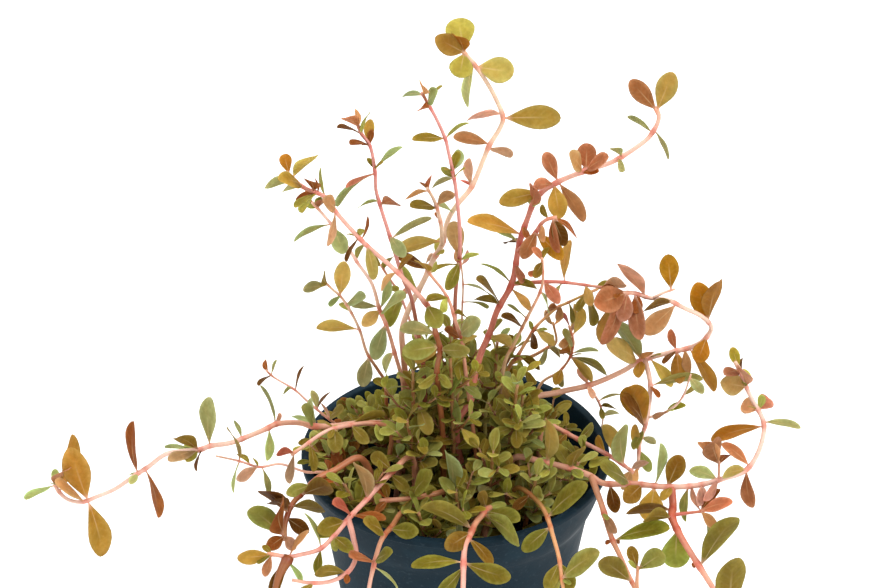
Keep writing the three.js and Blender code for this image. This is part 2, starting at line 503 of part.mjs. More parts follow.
// Where the view shows a point: [x, y, distance along the sight].
function viewOf(point) {
  const sight = point.clone().sub(EYE);
  const depth = sight.dot(FORWARD);
  return [
    VIEW_MIDDLE[0] + (VIEW_REACH * sight.dot(ACROSS)) / depth,
    VIEW_MIDDLE[1] - (VIEW_REACH * sight.dot(UPWARD)) / depth,
    depth,
  ];
}

// Height of the plug's domed top at a distance from the axis.
function mediumTop(radius) {
  const share = radius / COLLAR_RADIUS;
  return MEDIUM_TOP - (MEDIUM_TOP - MEDIUM_EDGE) * share * share;
}

function toSolid(geometry) {
  geometry.deleteAttribute("normal");
  geometry.deleteAttribute("uv");
  const merged = mergeVertices(geometry, 1e-4);
  return new wasm.Manifold(new wasm.Mesh({
    numProp: 3,
    vertProperties: new Float32Array(merged.attributes.position.array),
    triVerts: new Uint32Array(merged.index.array),
  }));
}

function toGeometry(solid) {
  const mesh = solid.getMesh();
  const geometry = new THREE.BufferGeometry();
  geometry.setAttribute("position", new THREE.BufferAttribute(mesh.vertProperties, 3));
  geometry.setIndex(new THREE.BufferAttribute(mesh.triVerts, 1));
  geometry.computeVertexNormals();
  return geometry;
}

// A turned form: its profile is a list of [radius, height] from the axis back to the axis.
function turned(profile, sides) {
  const points = profile.map(([radius, height]) => new THREE.Vector2(radius, height));
  return new THREE.LatheGeometry(points, sides).rotateX(Math.PI / 2);
}

function potGeometry() {
  const lipFoot = POT_HEIGHT - LIP_HEIGHT;
  return turned([
    [0, 0], [BASE_RADIUS, 0],
    [SHOULDER_RADIUS, SHOULDER_FOOT], [COLLAR_RADIUS, COLLAR_FOOT],
    [RIM_RADIUS - LIP_OVERHANG, lipFoot], [RIM_RADIUS, lipFoot], [RIM_RADIUS, POT_HEIGHT],
    [RIM_RADIUS - LIP_OVERHANG - WALL, POT_HEIGHT],
    [COLLAR_RADIUS - WALL, COLLAR_FOOT], [SHOULDER_RADIUS - WALL, SHOULDER_FOOT],
    [BASE_RADIUS - WALL, FLOOR], [0, FLOOR],
  ], POT_SIDES);
}

// Radius of the pot's inner wall at a height below its shoulder.
function innerRadius(height) {
  const share = (height - FLOOR) / (SHOULDER_FOOT - FLOOR);
  return BASE_RADIUS - WALL + (SHOULDER_RADIUS - BASE_RADIUS) * share;
}

function mediumGeometry() {
  const [low, high] = [FLOOR + FIT_GAP, MEDIUM_EDGE - EDGE_DROP];
  const edge = innerRadius(high) - FIT_GAP;
  const [outer, inner] = [0.8 * edge, 0.4 * edge];
  return turned([
    [0, low], [innerRadius(low) - FIT_GAP, low], [edge, high],
    [outer, mediumTop(outer)], [inner, mediumTop(inner)], [0, MEDIUM_TOP],
  ], POT_SIDES);
}

function stepsOf(curve) {
  return Math.max(2, Math.round(curve.getLength() / STEP_LENGTH));
}

// A stem: a tube of even girth along a smooth curve through its points, in straight steps.
function stemSolid(curve, girth) {
  const sides = girth > THIN_GIRTH ? 5 : 4;
  const corners = [];
  for (let side = 0; side < sides; side += 1) {
    const angle = (2 * Math.PI * side) / sides;
    corners.push(new THREE.Vector2(Math.cos(angle), Math.sin(angle)).multiplyScalar(girth / 2));
  }
  const settings = { steps: stepsOf(curve), extrudePath: curve, bevelEnabled: false };
  return toSolid(new THREE.ExtrudeGeometry(new THREE.Shape(corners), settings));
}

// Close points along a stem's centre line, from its foot to just inside its tip.
function centreLine(curve) {
  const ends = curve.getSpacedPoints(stepsOf(curve));
  const line = [];
  for (let step = 1; step < ends.length; step += 1) {
    for (let part = 0; part < STEP_SAMPLES; part += 1) {
      line.push(ends[step - 1].clone().lerp(ends[step], part / STEP_SAMPLES));
    }
  }
  return line;
}

// A leaf: a thin bowed lens, narrow at its base, widest past its middle, with a round tip.
// `side` is the unit direction of its width.
function leafSolid(base, tip, width, side) {
  const length = base.distanceTo(tip);
  const normal = tip.clone().sub(base).cross(side).normalize();
  const outline = length < SMALL_LEAF ? SMALL_OUTLINE : ROUND_OUTLINE;
  const at = (along, across, lift) => base.clone()
    .lerp(tip, along)
    .addScaledVector(side, (across * width) / 2)
    .addScaledVector(normal, lift + 4 * LEAF_BOW * length * along * (1 - along));
  const points = outline.map(([along, across]) => at(along, across, 0));
  points.push(at(LEAF_CROWN, 0, LEAF_HALF_THICKNESS), at(LEAF_CROWN, 0, -LEAF_HALF_THICKNESS));
  const top = outline.length;
  const triangles = [];
  outline.forEach((_, index) => {
    const next = (index + 1) % outline.length;
    triangles.push(top, next, index, top + 1, index, next);
  });
  const geometry = new THREE.BufferGeometry();
  geometry.setAttribute("position", new THREE.Float32BufferAttribute(points.flatMap((p) => p.toArray()), 3));
  geometry.setIndex(triangles);
  return toSolid(geometry);
}

// The leaf's width direction that shows the given share of its width in the view.
function widthDirection(base, tip, share, turn) {
  const along = tip.clone().sub(base).normalize();
  const sight = EYE.clone().sub(base).normalize();
  const flat = along.clone().cross(sight).normalize();
  const deep = along.clone().cross(flat);
  const angle = Math.acos(Math.min(1, share)) * turn;
  const side = flat.multiplyScalar(Math.cos(angle)).addScaledVector(deep, Math.sin(angle));
  const normalRise = along.cross(side).z;
  return normalRise < 0 ? side.negate() : side;
}

// Of the given points, the one that the view shows nearest to (x, y).
function nearestSeen(points, x, y) {
  let best = null;
  let bestGap = Infinity;
  for (const point of points) {
    const [px, py] = viewOf(point);
    const gap = Math.hypot(px - x, py - y);
    if (gap < bestGap) {
      best = point;
      bestGap = gap;
    }
  }
  return best;
}

// Everything placed so far, each with its owner's name, so that no piece grows through another.
const placed = [];

function place(owner, solid) {
  placed.push({ owner, solid, box: solid.boundingBox() });
}

function boxesMeet(a, b) {
  return [0, 1, 2].every((axis) => a.min[axis] - b.max[axis] <= CLEARANCE
    && b.min[axis] - a.max[axis] <= CLEARANCE);
}

function isFree(owner, solid) {
  const box = solid.boundingBox();
  return !placed.some((other) => other.owner !== owner && boxesMeet(box, other.box)
    && other.solid.minGap(solid, CLEARANCE) < CLEARANCE);
}

function curveOf(points) {
  return new THREE.CatmullRomCurve3(points, false, "centripetal");
}

// A long shoot's stems. The main one rises from its foot on the plug, and each twig starts
// on a stem before it.
function stemsOf({ name, foot, stems }) {
  const grown = [];
  return stems.map(({ girth, route, leaves }) => {
    const points = route.map(([x, y, back]) => seen(x, y, back));
    if (grown.length > 0) {
      points[0] = nearestSeen(grown, route[0][0], route[0][1]).clone();
    } else {
      const height = mediumTop(Math.hypot(foot[0], foot[1])) + FOOT_GAP;
      points.unshift(new THREE.Vector3(foot[0], foot[1], height));
    }
    const curve = curveOf(points);
    const solid = stemSolid(curve, girth);
    const line = centreLine(curve);
    grown.push(...line);
    place(name, solid);
    return { name, line, leaves, solid };
  });
}

// The leaves of one stem. A leaf that would meet another shoot leans a little more or less.
function leavesOf({ name, line, leaves }) {
  const solids = [];
  leaves.forEach(([baseX, baseY, tipX, tipY, shownWidth, lean], index) => {
    const base = nearestSeen(line, baseX, baseY);
    for (const nudge of DEPTH_NUDGES) {
      const tip = seen(tipX, tipY, base.y + lean + nudge);
      const length = base.distanceTo(tip);
      if (length < SHORTEST_LEAF) {
        return;
      }
      const shown = (shownWidth * viewOf(base)[2]) / VIEW_REACH;
      const width = Math.max(shown, LEAF_PROPORTION * length);
      const side = widthDirection(base, tip, shown / width, index % 2 ? 1 : -1);
      const leaf = leafSolid(base, tip, width, side);
      if (isFree(name, leaf)) {
        place(name, leaf);
        solids.push(leaf);
        return;
      }
    }
  });
  return solids;
}

// A low shoot: a short stem with crossed pairs of small round leaves.
function lowShoot([footX, footY, topX, topY, rise], index) {
  const name = `low_shoot_${String(index + 1).padStart(2, "0")}`;
  const foot = new THREE.Vector3(footX, footY, mediumTop(Math.hypot(footX, footY)) + FOOT_GAP);
  const top = new THREE.Vector3(topX, topY, POT_HEIGHT + rise);
  const middle = foot.clone().lerp(top, 0.5).add(new THREE.Vector3(0, 0, LOW_BEND * rise));
  const curve = curveOf([foot, middle, top]);
  const solid = stemSolid(curve, LOW_GIRTH);
  if (!isFree(name, solid)) {
    throw new Error(`${name} grows through another piece`);
  }
  place(name, solid);
  return { name, line: centreLine(curve), solid, index };
}

function lowLeaves({ name, line, index }) {
  const solids = [];
  LOW_PAIRS.forEach((station, pair) => {
    const base = line[Math.round(station * (line.length - 1))];
    const length = LOW_LEAF_LENGTH * (1 - LOW_LEAF_TAPER * station);
    const heading = index * LOW_TURN + pair * (Math.PI / 2);
    for (const turn of [heading, heading + Math.PI]) {
      const out = new THREE.Vector3(Math.cos(turn), Math.sin(turn), LOW_LEAF_RISE).normalize();
      const side = new THREE.Vector3(-Math.sin(turn), Math.cos(turn), 0);
      const leaf = leafSolid(base, base.clone().addScaledVector(out, length), LOW_LEAF_WIDTH, side);
      if (isFree(name, leaf)) {
        place(name, leaf);
        solids.push(leaf);
      }
    }
  });
  return solids;
}

const object = new THREE.Group();

function addPiece(name, geometry, material) {
  const mesh = new THREE.Mesh(geometry, material);
  mesh.name = name;
  object.add(mesh);
}

const pot = potGeometry();
const medium = mediumGeometry();
addPiece("pot", pot, plastic(POT_COLOUR));
addPiece("growing_medium", medium, fibre(MEDIUM_COLOUR));
place("pot", toSolid(pot.clone()));
place("growing_medium", toSolid(medium.clone()));

const longStems = SHOOTS.map(stemsOf);
const lowStems = LOW_SHOOTS.map(lowShoot);

longStems.forEach((stems, index) => {
  const pieces = stems.flatMap((each) => [each.solid, ...leavesOf(each)]);
  const colour = SHOOT_COLOURS[index % SHOOT_COLOURS.length];
  addPiece(stems[0].name, toGeometry(wasm.Manifold.union(pieces)), plant(colour));
});

lowStems.forEach((each) => {
  const pieces = [each.solid, ...lowLeaves(each)];
  addPiece(each.name, toGeometry(wasm.Manifold.union(pieces)), plant(LOW_COLOUR));
});

export default object;
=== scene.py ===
"""A bunch of Rotala H'ra in its small plastic pot, dressed over the fixed frame.

The classes hold their sizes in millimetres, in the frame of the solids: +Z up, the origin
at the centre of the pot's underside. Meshes are made in metres.
"""
import logging
import math
from collections.abc import Sequence
from dataclasses import dataclass
from enum import Enum, IntEnum
from functools import lru_cache

import bpy
import numpy as np
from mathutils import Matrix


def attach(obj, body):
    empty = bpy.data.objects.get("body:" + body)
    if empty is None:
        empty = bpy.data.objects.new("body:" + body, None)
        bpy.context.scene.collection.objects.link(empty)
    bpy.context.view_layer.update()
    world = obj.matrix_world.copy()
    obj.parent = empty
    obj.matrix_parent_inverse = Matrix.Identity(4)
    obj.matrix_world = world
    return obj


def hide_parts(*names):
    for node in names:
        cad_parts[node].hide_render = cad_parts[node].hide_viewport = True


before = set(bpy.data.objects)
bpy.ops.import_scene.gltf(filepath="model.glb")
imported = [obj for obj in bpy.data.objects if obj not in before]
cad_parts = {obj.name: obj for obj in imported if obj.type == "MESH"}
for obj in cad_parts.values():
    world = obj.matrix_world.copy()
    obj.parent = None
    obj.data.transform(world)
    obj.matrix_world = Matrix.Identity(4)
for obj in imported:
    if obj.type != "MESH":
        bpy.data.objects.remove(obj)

LOG = logging.getLogger("rotala")
Vec = np.ndarray
Row = tuple[float, ...]
Socket = bpy.types.NodeSocket
MM = 0.001
TINY = 1e-6
UP = np.array((0.0, 0.0, 1.0))

# The radius of the pot's collar, where the plug's domed top would end, in millimetres
COLLAR_RADIUS = 24.2


class Cover(IntEnum):
    """Which of a piece's materials covers a part of it, by its place in their list."""

    BODY = 0
    LEAF = 1


class Tone(Enum):
    """The leaf colours: each has the colour of its middle and of its paler margin, as displayed."""

    GREEN = ((0.60, 0.60, 0.285), (0.68, 0.68, 0.38))
    MOSS = ((0.50, 0.475, 0.16), (0.60, 0.58, 0.26))
    FERN = ((0.62, 0.64, 0.36), (0.70, 0.71, 0.45))
    OLIVE = ((0.53, 0.47, 0.16), (0.62, 0.56, 0.26))
    STRAW = ((0.76, 0.675, 0.38), (0.79, 0.71, 0.45))
    GOLD = ((0.71, 0.575, 0.24), (0.74, 0.62, 0.32))
    AMBER = ((0.64, 0.45, 0.10), (0.68, 0.51, 0.17))
    ORANGE = ((0.75, 0.60, 0.41), (0.79, 0.66, 0.49))
    RUST = ((0.575, 0.335, 0.14), (0.66, 0.43, 0.23))
    CLAY = ((0.70, 0.475, 0.34), (0.79, 0.59, 0.47))
    BROWN = ((0.43, 0.27, 0.06), (0.53, 0.37, 0.14))
    PINK = ((0.76, 0.61, 0.52), (0.84, 0.70, 0.62))
    SAGE = ((0.63, 0.66, 0.44), (0.71, 0.74, 0.54))
    LIME = ((0.66, 0.62, 0.28), (0.70, 0.67, 0.35))
    RED = ((0.68, 0.38, 0.31), (0.75, 0.47, 0.38))
    BRONZE = ((0.49, 0.37, 0.11), (0.57, 0.46, 0.19))
    FAWN = ((0.70, 0.57, 0.42), (0.77, 0.66, 0.52))
    SIENNA = ((0.62, 0.41, 0.26), (0.70, 0.50, 0.36))


class Skin(Enum):
    """The stem colours: the upper part's, the lower part's, and the run in millimetres where they meet."""

    BLUSH = ((0.87, 0.68, 0.60), (0.74, 0.49, 0.35), (6.0, 28.0))
    TAWNY = ((0.87, 0.68, 0.60), (0.70, 0.46, 0.30), (20.0, 34.0))
    FADED = ((0.88, 0.76, 0.65), (0.72, 0.44, 0.30), (18.0, 46.0))
    FLAME = ((0.89, 0.70, 0.62), (0.79, 0.46, 0.38), (50.0, 70.0))
    EARTHY = ((0.88, 0.66, 0.59), (0.58, 0.34, 0.18), (38.0, 54.0))
    ROSE = ((0.84, 0.60, 0.50), (0.70, 0.44, 0.28), (10.0, 40.0))
    CORAL = ((0.87, 0.63, 0.56), (0.79, 0.55, 0.42), (18.0, 28.0))
    CRIMSON = ((0.78, 0.42, 0.36), (0.72, 0.36, 0.29), (50.0, 62.0))
    PEACH = ((0.89, 0.75, 0.68), (0.84, 0.61, 0.50), (34.0, 52.0))
    LOOPED = ((0.88, 0.74, 0.66), (0.80, 0.60, 0.49), (33.0, 41.0))
    EMBER = ((0.87, 0.62, 0.52), (0.74, 0.40, 0.29), (50.0, 62.0))
    HONEY = ((0.80, 0.58, 0.38), (0.55, 0.38, 0.18), (18.0, 26.0))
    SCARLET = ((0.82, 0.55, 0.51), (0.60, 0.33, 0.22), (36.0, 58.0))
    TAN = ((0.70, 0.55, 0.30), (0.82, 0.60, 0.40), (30.0, 40.0))
    HAY = ((0.86, 0.64, 0.52), (0.82, 0.66, 0.50), (34.0, 42.0))
    RUDDY = ((0.80, 0.56, 0.42), (0.84, 0.66, 0.50), (20.0, 26.0))
    FRESH = ((0.86, 0.83, 0.50), (0.82, 0.76, 0.44), (16.0, 72.0))
    MUTED = ((0.66, 0.52, 0.32), (0.56, 0.38, 0.21), (4.0, 14.0))
    UMBER = ((0.55, 0.32, 0.15), (0.74, 0.46, 0.30), (24.0, 31.0))


# The tones by their own names, for the rows of the table
(GREEN, MOSS, FERN, OLIVE, STRAW, GOLD, AMBER, ORANGE, RUST, CLAY, BROWN, PINK, SAGE, LIME, RED, BRONZE,
 FAWN, SIENNA) = Tone


@dataclass(frozen=True)
class Stem:
    """One stem as the view shows it, with its own skin where that isn't the shoot's.

    A route point is (across, down, millimetres behind the pot's axis). A leaf is (base across,
    base down, tip across, tip down, width, millimetres that its tip leans back, tone).
    """

    girth: float
    route: tuple[Row, ...]
    leaves: tuple[tuple, ...]
    skin: Skin | None = None


@dataclass(frozen=True)
class Shoot:
    """A long shoot: its name, the place of its foot on the plug, its skin, and its stems, main one first."""

    name: str
    foot: Row
    skin: Skin
    stems: tuple[Stem, ...]


@dataclass(frozen=True)
class LowShoot:
    """A low shoot: its foot on the plug, and its top with that top's rise above the rim."""

    foot: Row
    top: Row
    rise: float


SHOOTS: tuple[Shoot, ...] = (
    Shoot("crown_shoot", (-6, 3), Skin.FADED, (Stem(1.2, (
        (403, 352, 2), (402, 330, 2), (408, 311, 2), (416, 295, 2), (425, 278, 2), (433, 260, 3),
        (442, 245, 3), (448, 220, 4), (457, 205, 4), (471, 188, 5), (484, 158, 6), (489, 146, 6),
        (500, 128, 7), (503, 118, 7), (495, 97, 7), (482, 75, 6), (474, 64, 6), (462, 50, 5)
    ), (
        (462, 48, 458, 18, 30, 4, LIME), (460, 47, 435, 37, 22, -3, GOLD), (461, 50, 455, 36, 12, -5, AMBER),
        (463, 51, 459, 78, 25, -2, LIME), (476, 66, 514, 72, 27, 1, STRAW), (472, 66, 468, 108, 10, 2, SAGE),
        (506, 117, 561, 118, 25, 0, GOLD), (502, 113, 467, 120, 8, 4, PINK),
        (486, 144, 453, 137, 13, 2, ORANGE), (491, 150, 511, 158, 10, 4, PINK),
        (473, 186, 469, 158, 10, 3, PINK), (470, 188, 461, 180, 4, 3, RED),
        (441, 242, 396, 252, 15, -3, STRAW), (427, 271, 398, 259, 12, -3, BROWN),
        (418, 290, 402, 266, 10, 4, GREEN), (436, 256, 425, 266, 5, 4, FAWN)
    )), Stem(0.8, (
        (442, 243, 3), (441, 225, 1), (437, 208, 0), (433, 198, -1), (427, 188, -2)
    ), (
        (428, 190, 432, 175, 5, 4, RUST), (427, 189, 419, 182, 4, 3, RUST),
        (428, 192, 405, 200, 5, -4, ORANGE), (436, 208, 410, 207, 11, -4, OLIVE),
        (438, 206, 452, 212, 6, 4, SAGE), (438, 206, 453, 192, 12, -2, FAWN),
        (441, 222, 434, 214, 5, 3, RUST)
    )))),
    Shoot("tall_red_shoot", (2, 2), Skin.SCARLET, (Stem(0.9, (
        (455, 330, 0), (456, 287, 0), (459, 265, -1), (460, 235, -2), (456, 190, -3), (454, 178, -3),
        (448, 150, -4), (446, 141, -4), (437, 120, -5), (427, 102, -5), (422, 93, -6)
    ), (
        (423, 96, 421, 84, 8, -4, ORANGE), (423, 97, 402, 97, 6, 3, SAGE), (430, 104, 438, 91, 12, -4, SAGE),
        (430, 104, 443, 86, 3, 3, GREEN), (431, 108, 420, 110, 7, -4, RUST),
        (445, 138, 412, 140, 10, -2, OLIVE), (447, 139, 470, 123, 4, 3, GREEN),
        (453, 172, 460, 150, 12, 4, SAGE), (454, 178, 432, 188, 6, -4, SAGE),
        (460, 256, 453, 221, 18, 4, ORANGE), (458, 262, 446, 290, 13, -4, MOSS),
        (459, 263, 433, 271, 4, -3, OLIVE), (460, 262, 480, 254, 5, 3, GREEN)
    )),)),
    Shoot("upright_red_shoot", (-5, -2), Skin.SCARLET, (Stem(0.9, (
        (424, 372, -3), (417, 327, -4), (410, 294, -5), (404, 281, -5), (391, 240, -6), (380, 205, -7),
        (376, 190, -7), (375, 172, -8), (370, 146, -8), (361, 133, -9), (357, 123, -9)
    ), (
        (358, 125, 345, 118, 11, -4, CLAY), (358, 124, 356, 109, 6, 3, ORANGE),
        (361, 133, 337, 128, 4, 3, BROWN), (361, 133, 370, 113, 4, -2, GREEN),
        (369, 145, 370, 119, 11, 3, GOLD), (369, 146, 350, 145, 6, -4, RUST),
        (375, 171, 403, 147, 6, 2, SAGE), (375, 172, 346, 188, 5, -3, CLAY),
        (375, 173, 338, 207, 5, 2, SAGE), (380, 205, 397, 203, 12, -5, CLAY),
        (377, 201, 358, 208, 4, -4, SAGE), (391, 238, 432, 218, 8, 2, SAGE),
        (392, 236, 405, 257, 14, -4, SAGE)
    )),)),
    Shoot("dark_red_shoot", (-7, 7), Skin.CORAL, (Stem(0.7, (
        (424, 365, 6), (411, 324, 6), (399, 293, 6), (387, 275, 6), (381, 265, 5)
    ), (
        (382, 267, 371, 253, 7, 3, OLIVE), (383, 269, 393, 257, 7, -3, GREEN),
        (399, 293, 386, 288, 8, -4, GREEN), (400, 294, 412, 289, 8, 4, PINK),
        (402, 297, 391, 327, 16, 4, GREEN)
    )),)),
    Shoot("left_leaning_shoot", (-2, -7), Skin.EARTHY, (Stem(1.1, (
        (443, 444, -6), (441, 413, -6), (438, 388, -6), (437, 368, -7), (440, 351, -7), (435, 330, -8),
        (432, 313, -8), (422, 299, -9), (396, 271, -10), (372, 250, -11), (362, 241, -12), (336, 212, -13),
        (325, 197, -13), (303, 187, -14), (286, 172, -14)
    ), (
        (288, 175, 284, 154, 13, 4, AMBER), (292, 177, 315, 156, 11, -4, STRAW),
        (294, 180, 265, 187, 10, -4, SAGE), (302, 188, 278, 180, 14, -5, GOLD),
        (313, 192, 308, 181, 13, -5, RUST), (316, 194, 295, 208, 7, -4, GREEN),
        (318, 195, 303, 213, 6, 3, GREEN), (303, 187, 283, 191, 8, 3, SAGE),
        (325, 197, 321, 167, 4, 3, GREEN), (338, 211, 322, 199, 14, -4, ORANGE),
        (334, 212, 327, 246, 8, -4, FAWN), (357, 238, 347, 262, 5, -4, BROWN),
        (365, 245, 374, 280, 13, -2, STRAW), (363, 240, 368, 216, 4, 3, RUST),
        (396, 271, 381, 289, 8, -5, ORANGE), (397, 271, 413, 256, 7, 4, BRONZE),
        (428, 303, 440, 328, 20, -4, LIME), (424, 301, 446, 297, 9, -4, OLIVE),
        (434, 334, 400, 328, 15, -2, SAGE), (437, 345, 402, 352, 22, -3, GREEN),
        (438, 347, 417, 364, 14, 3, STRAW), (440, 350, 470, 350, 15, -3, GREEN),
        (438, 372, 418, 386, 10, -4, GREEN), (439, 372, 452, 386, 10, -4, GREEN)
    )),)),
    Shoot("left_companion_shoot", (-9, 0), Skin.PEACH, (Stem(0.85, (
        (403, 385, -1), (400, 371, -1), (395, 354, -2), (390, 336, -2), (385, 322, -3), (380, 311, -3),
        (372, 284, -4), (357, 262, -5), (349, 249, -5), (332, 225, -6), (320, 211, -6), (312, 202, -6)
    ), (
        (313, 203, 305, 191, 7, 3, RUST), (316, 207, 330, 199, 6, -4, SIENNA),
        (331, 224, 294, 242, 6, -2, SAGE), (333, 227, 344, 254, 17, -3, SAGE),
        (380, 310, 362, 326, 14, -4, STRAW), (384, 324, 374, 360, 17, -2, SAGE),
        (378, 306, 352, 307, 8, 2, SAGE), (381, 308, 389, 280, 9, 3, SAGE),
        (383, 312, 406, 298, 12, -6, SAGE), (395, 352, 387, 376, 8, 3, SAGE),
        (357, 262, 364, 244, 7, 4, GREEN)
    )),)),
    Shoot("small_left_shoot", (-12.5, 6), Skin.FADED, (Stem(0.75, (
        (385, 383, 3), (378, 370, 2), (367, 353, 1), (360, 331, 0), (352, 314, -1), (341, 297, -2),
        (331, 288, -2), (325, 282, -2)
    ), (
        (325, 283, 303, 289, 11, -3, SAGE), (327, 284, 324, 275, 9, -4, OLIVE),
        (341, 296, 344, 261, 17, 1, STRAW), (341, 297, 331, 307, 7, -4, SAGE),
        (348, 305, 366, 298, 12, -4, SAGE), (351, 313, 340, 303, 8, 3, GREEN),
        (360, 331, 316, 328, 12, -1, STRAW), (369, 357, 362, 387, 16, -3, SAGE)
    )),)),
    Shoot("right_leaning_shoot", (3, -3), Skin.FLAME, (Stem(1.3, (
        (457, 424, -3), (471, 400, -1), (473, 385, 1), (481, 353, 3), (489, 335, 4), (497, 311, 5),
        (512, 283, 6), (519, 245, 8), (527, 220, 9), (537, 197, 10), (556, 183, 10), (585, 171, 11),
        (612, 162, 12), (637, 147, 13), (650, 136, 14), (659, 117, 14), (655, 107, 15)
    ), (
        (655, 108, 630, 80, 19, 2, SIENNA), (656, 106, 673, 72, 22, 0, STRAW),
        (652, 133, 627, 117, 6, 3, SAGE), (653, 131, 668, 160, 5, -2, SAGE),
        (621, 159, 613, 148, 9, -3, SAGE), (621, 160, 625, 171, 8, -4, SAGE),
        (585, 170, 587, 143, 20, 3, SIENNA), (583, 171, 569, 153, 14, -4, ORANGE),
        (586, 170, 609, 157, 13, -4, CLAY), (557, 182, 545, 152, 15, 3, CLAY),
        (556, 183, 533, 186, 13, -4, CLAY), (558, 184, 584, 222, 15, -3, ORANGE),
        (555, 184, 560, 219, 20, -5, GOLD), (541, 192, 499, 203, 18, -2, GOLD),
        (535, 209, 533, 186, 13, -4, CLAY), (521, 236, 467, 222, 15, -2, GOLD),
        (519, 243, 486, 226, 9, 3, SAGE), (519, 242, 506, 244, 4, 4, BROWN),
        (526, 226, 525, 238, 8, -4, RUST), (511, 283, 480, 264, 4, 2, GREEN),
        (511, 287, 530, 311, 9, -2, STRAW), (512, 286, 536, 287, 9, -4, OLIVE),
        (515, 262, 521, 284, 9, -4, CLAY), (499, 305, 476, 280, 6, -4, OLIVE),
        (499, 307, 475, 299, 9, -4, OLIVE), (489, 335, 503, 320, 6, 4, GREEN)
    )), Stem(0.9, (
        (519, 252, 8), (527, 243, 6), (536, 232, 5), (541, 224, 4), (548, 219, 3), (557, 217, 3)
    ), (
        (557, 217, 565, 246, 16, -3, BROWN), (556, 218, 559, 253, 10, -4, SIENNA),
        (557, 217, 577, 238, 6, 3, RUST), (541, 224, 545, 242, 8, -4, ORANGE),
        (536, 234, 562, 260, 16, -4, AMBER), (539, 232, 522, 259, 15, -3, SIENNA),
        (549, 219, 541, 205, 7, 3, OLIVE)
    )), Stem(0.8, (
        (512, 284, 6), (525, 283, 6), (540, 282, 5), (560, 282, 5), (585, 285, 5), (606, 288, 5)
    ), (
        (565, 283, 571, 240, 10, 2, STRAW), (606, 288, 625, 284, 12, -4, PINK),
        (545, 283, 559, 304, 13, -4, CLAY), (585, 285, 592, 306, 11, -4, STRAW),
        (563, 283, 556, 297, 5, 4, GREEN)
    )))),
    Shoot("right_inner_shoot", (7, 3), Skin.HAY, (Stem(0.8, (
        (505, 362, 3), (514, 344, 3), (526, 320, 2), (540, 292, 1), (543, 280, 0), (542, 258, -1)
    ), (
        (542, 260, 533, 277, 10, -4, BRONZE), (542, 270, 530, 277, 7, -4, SIENNA),
        (542, 259, 548, 247, 6, 3, OLIVE), (542, 262, 533, 247, 8, 3, CLAY),
        (526, 320, 507, 305, 3, 3, SAGE), (522, 326, 501, 317, 8, -3, BROWN),
        (511, 349, 495, 335, 13, -4, STRAW), (512, 349, 520, 333, 9, 3, GREEN),
        (541, 291, 548, 312, 3, 3, SAGE)
    )),)),
    Shoot("tan_shoot", (9, 8), Skin.TAN, (Stem(0.8, (
        (508, 370, 7), (517, 357, 7), (526, 342, 8), (536, 327, 8), (545, 318, 9), (558, 307, 9),
        (567, 303, 10), (586, 294, 10), (598, 289, 11)
    ), (
        (536, 328, 554, 346, 10, -3, STRAW), (534, 331, 538, 348, 8, -5, BROWN),
        (558, 307, 546, 314, 7, -5, SIENNA), (559, 307, 563, 319, 10, -5, ORANGE),
        (568, 302, 571, 323, 5, -4, OLIVE), (586, 294, 590, 325, 9, 3, OLIVE),
        (598, 289, 613, 283, 8, 3, OLIVE), (519, 354, 540, 369, 9, -4, OLIVE),
        (515, 360, 496, 352, 8, -3, GREEN), (587, 294, 578, 312, 9, -4, OLIVE)
    )), Stem(0.7, (
        (515, 360, 7), (530, 357, 8), (547, 348, 9), (556, 343, 10), (553, 322, 11)
    ), (
        (553, 323, 545, 310, 6, 3, FAWN), (553, 322, 562, 309, 6, 3, ORANGE),
        (547, 348, 538, 364, 7, -4, SAGE), (548, 347, 560, 356, 7, -4, SAGE)
    )))),
    Shoot("right_red_shoot", (13, 5), Skin.RUDDY, (Stem(0.7, (
        (540, 385, 9), (560, 371, 10), (571, 355, 10), (573, 340, 10), (569, 326, 10)
    ), (
        (569, 327, 561, 315, 4, 5, RED), (570, 327, 574, 303, 5, 3, STRAW),
        (571, 337, 558, 345, 10, -4, ORANGE), (573, 348, 562, 333, 9, -4, GREEN),
        (572, 354, 599, 351, 5, 2, SAGE), (570, 357, 592, 382, 10, -3, STRAW),
        (571, 356, 607, 375, 8, 2, MOSS), (561, 370, 555, 385, 11, -4, GOLD),
        (562, 370, 564, 386, 6, 2, MOSS), (571, 352, 568, 334, 8, 4, STRAW),
        (571, 355, 559, 352, 9, -4, AMBER), (571, 337, 583, 308, 12, 4, STRAW),
        (570, 332, 580, 319, 7, 4, PINK)
    )),)),
    Shoot("yellow_green_shoot", (6, -1), Skin.FRESH, (Stem(0.8, (
        (488, 402, 1), (502, 385, 2), (517, 375, 3), (528, 370, 3)
    ), (
        (528, 370, 541, 362, 7, 0, LIME), (528, 371, 537, 383, 9, -4, LIME),
        (517, 375, 511, 389, 9, -4, OLIVE), (517, 374, 521, 361, 7, 3, GREEN),
        (503, 384, 496, 371, 8, 1, GREEN), (503, 386, 511, 400, 9, -4, STRAW)
    )),)),
    Shoot("hairpin_shoot", (12, 1), Skin.LOOPED, (Stem(1.2, (
        (524, 404, 5), (560, 392, 7), (590, 385, 8), (623, 371, 11), (640, 361, 12), (676, 351, 12),
        (689, 348, 12), (704, 340, 11), (710, 332, 11), (711, 326, 10), (701, 316, 8), (684, 308, 6),
        (668, 300, 5), (650, 298, 4), (633, 293, 3), (616, 293, 2)
    ), (
        (708, 322, 697, 282, 24, 2, AMBER), (709, 322, 719, 281, 17, -3, AMBER),
        (706, 338, 697, 363, 18, -4, AMBER), (689, 349, 714, 392, 13, -3, GOLD),
        (676, 351, 680, 384, 16, -4, GOLD), (686, 350, 690, 373, 10, -4, ORANGE),
        (678, 350, 670, 329, 9, 3, CLAY), (675, 352, 664, 364, 6, -4, BROWN),
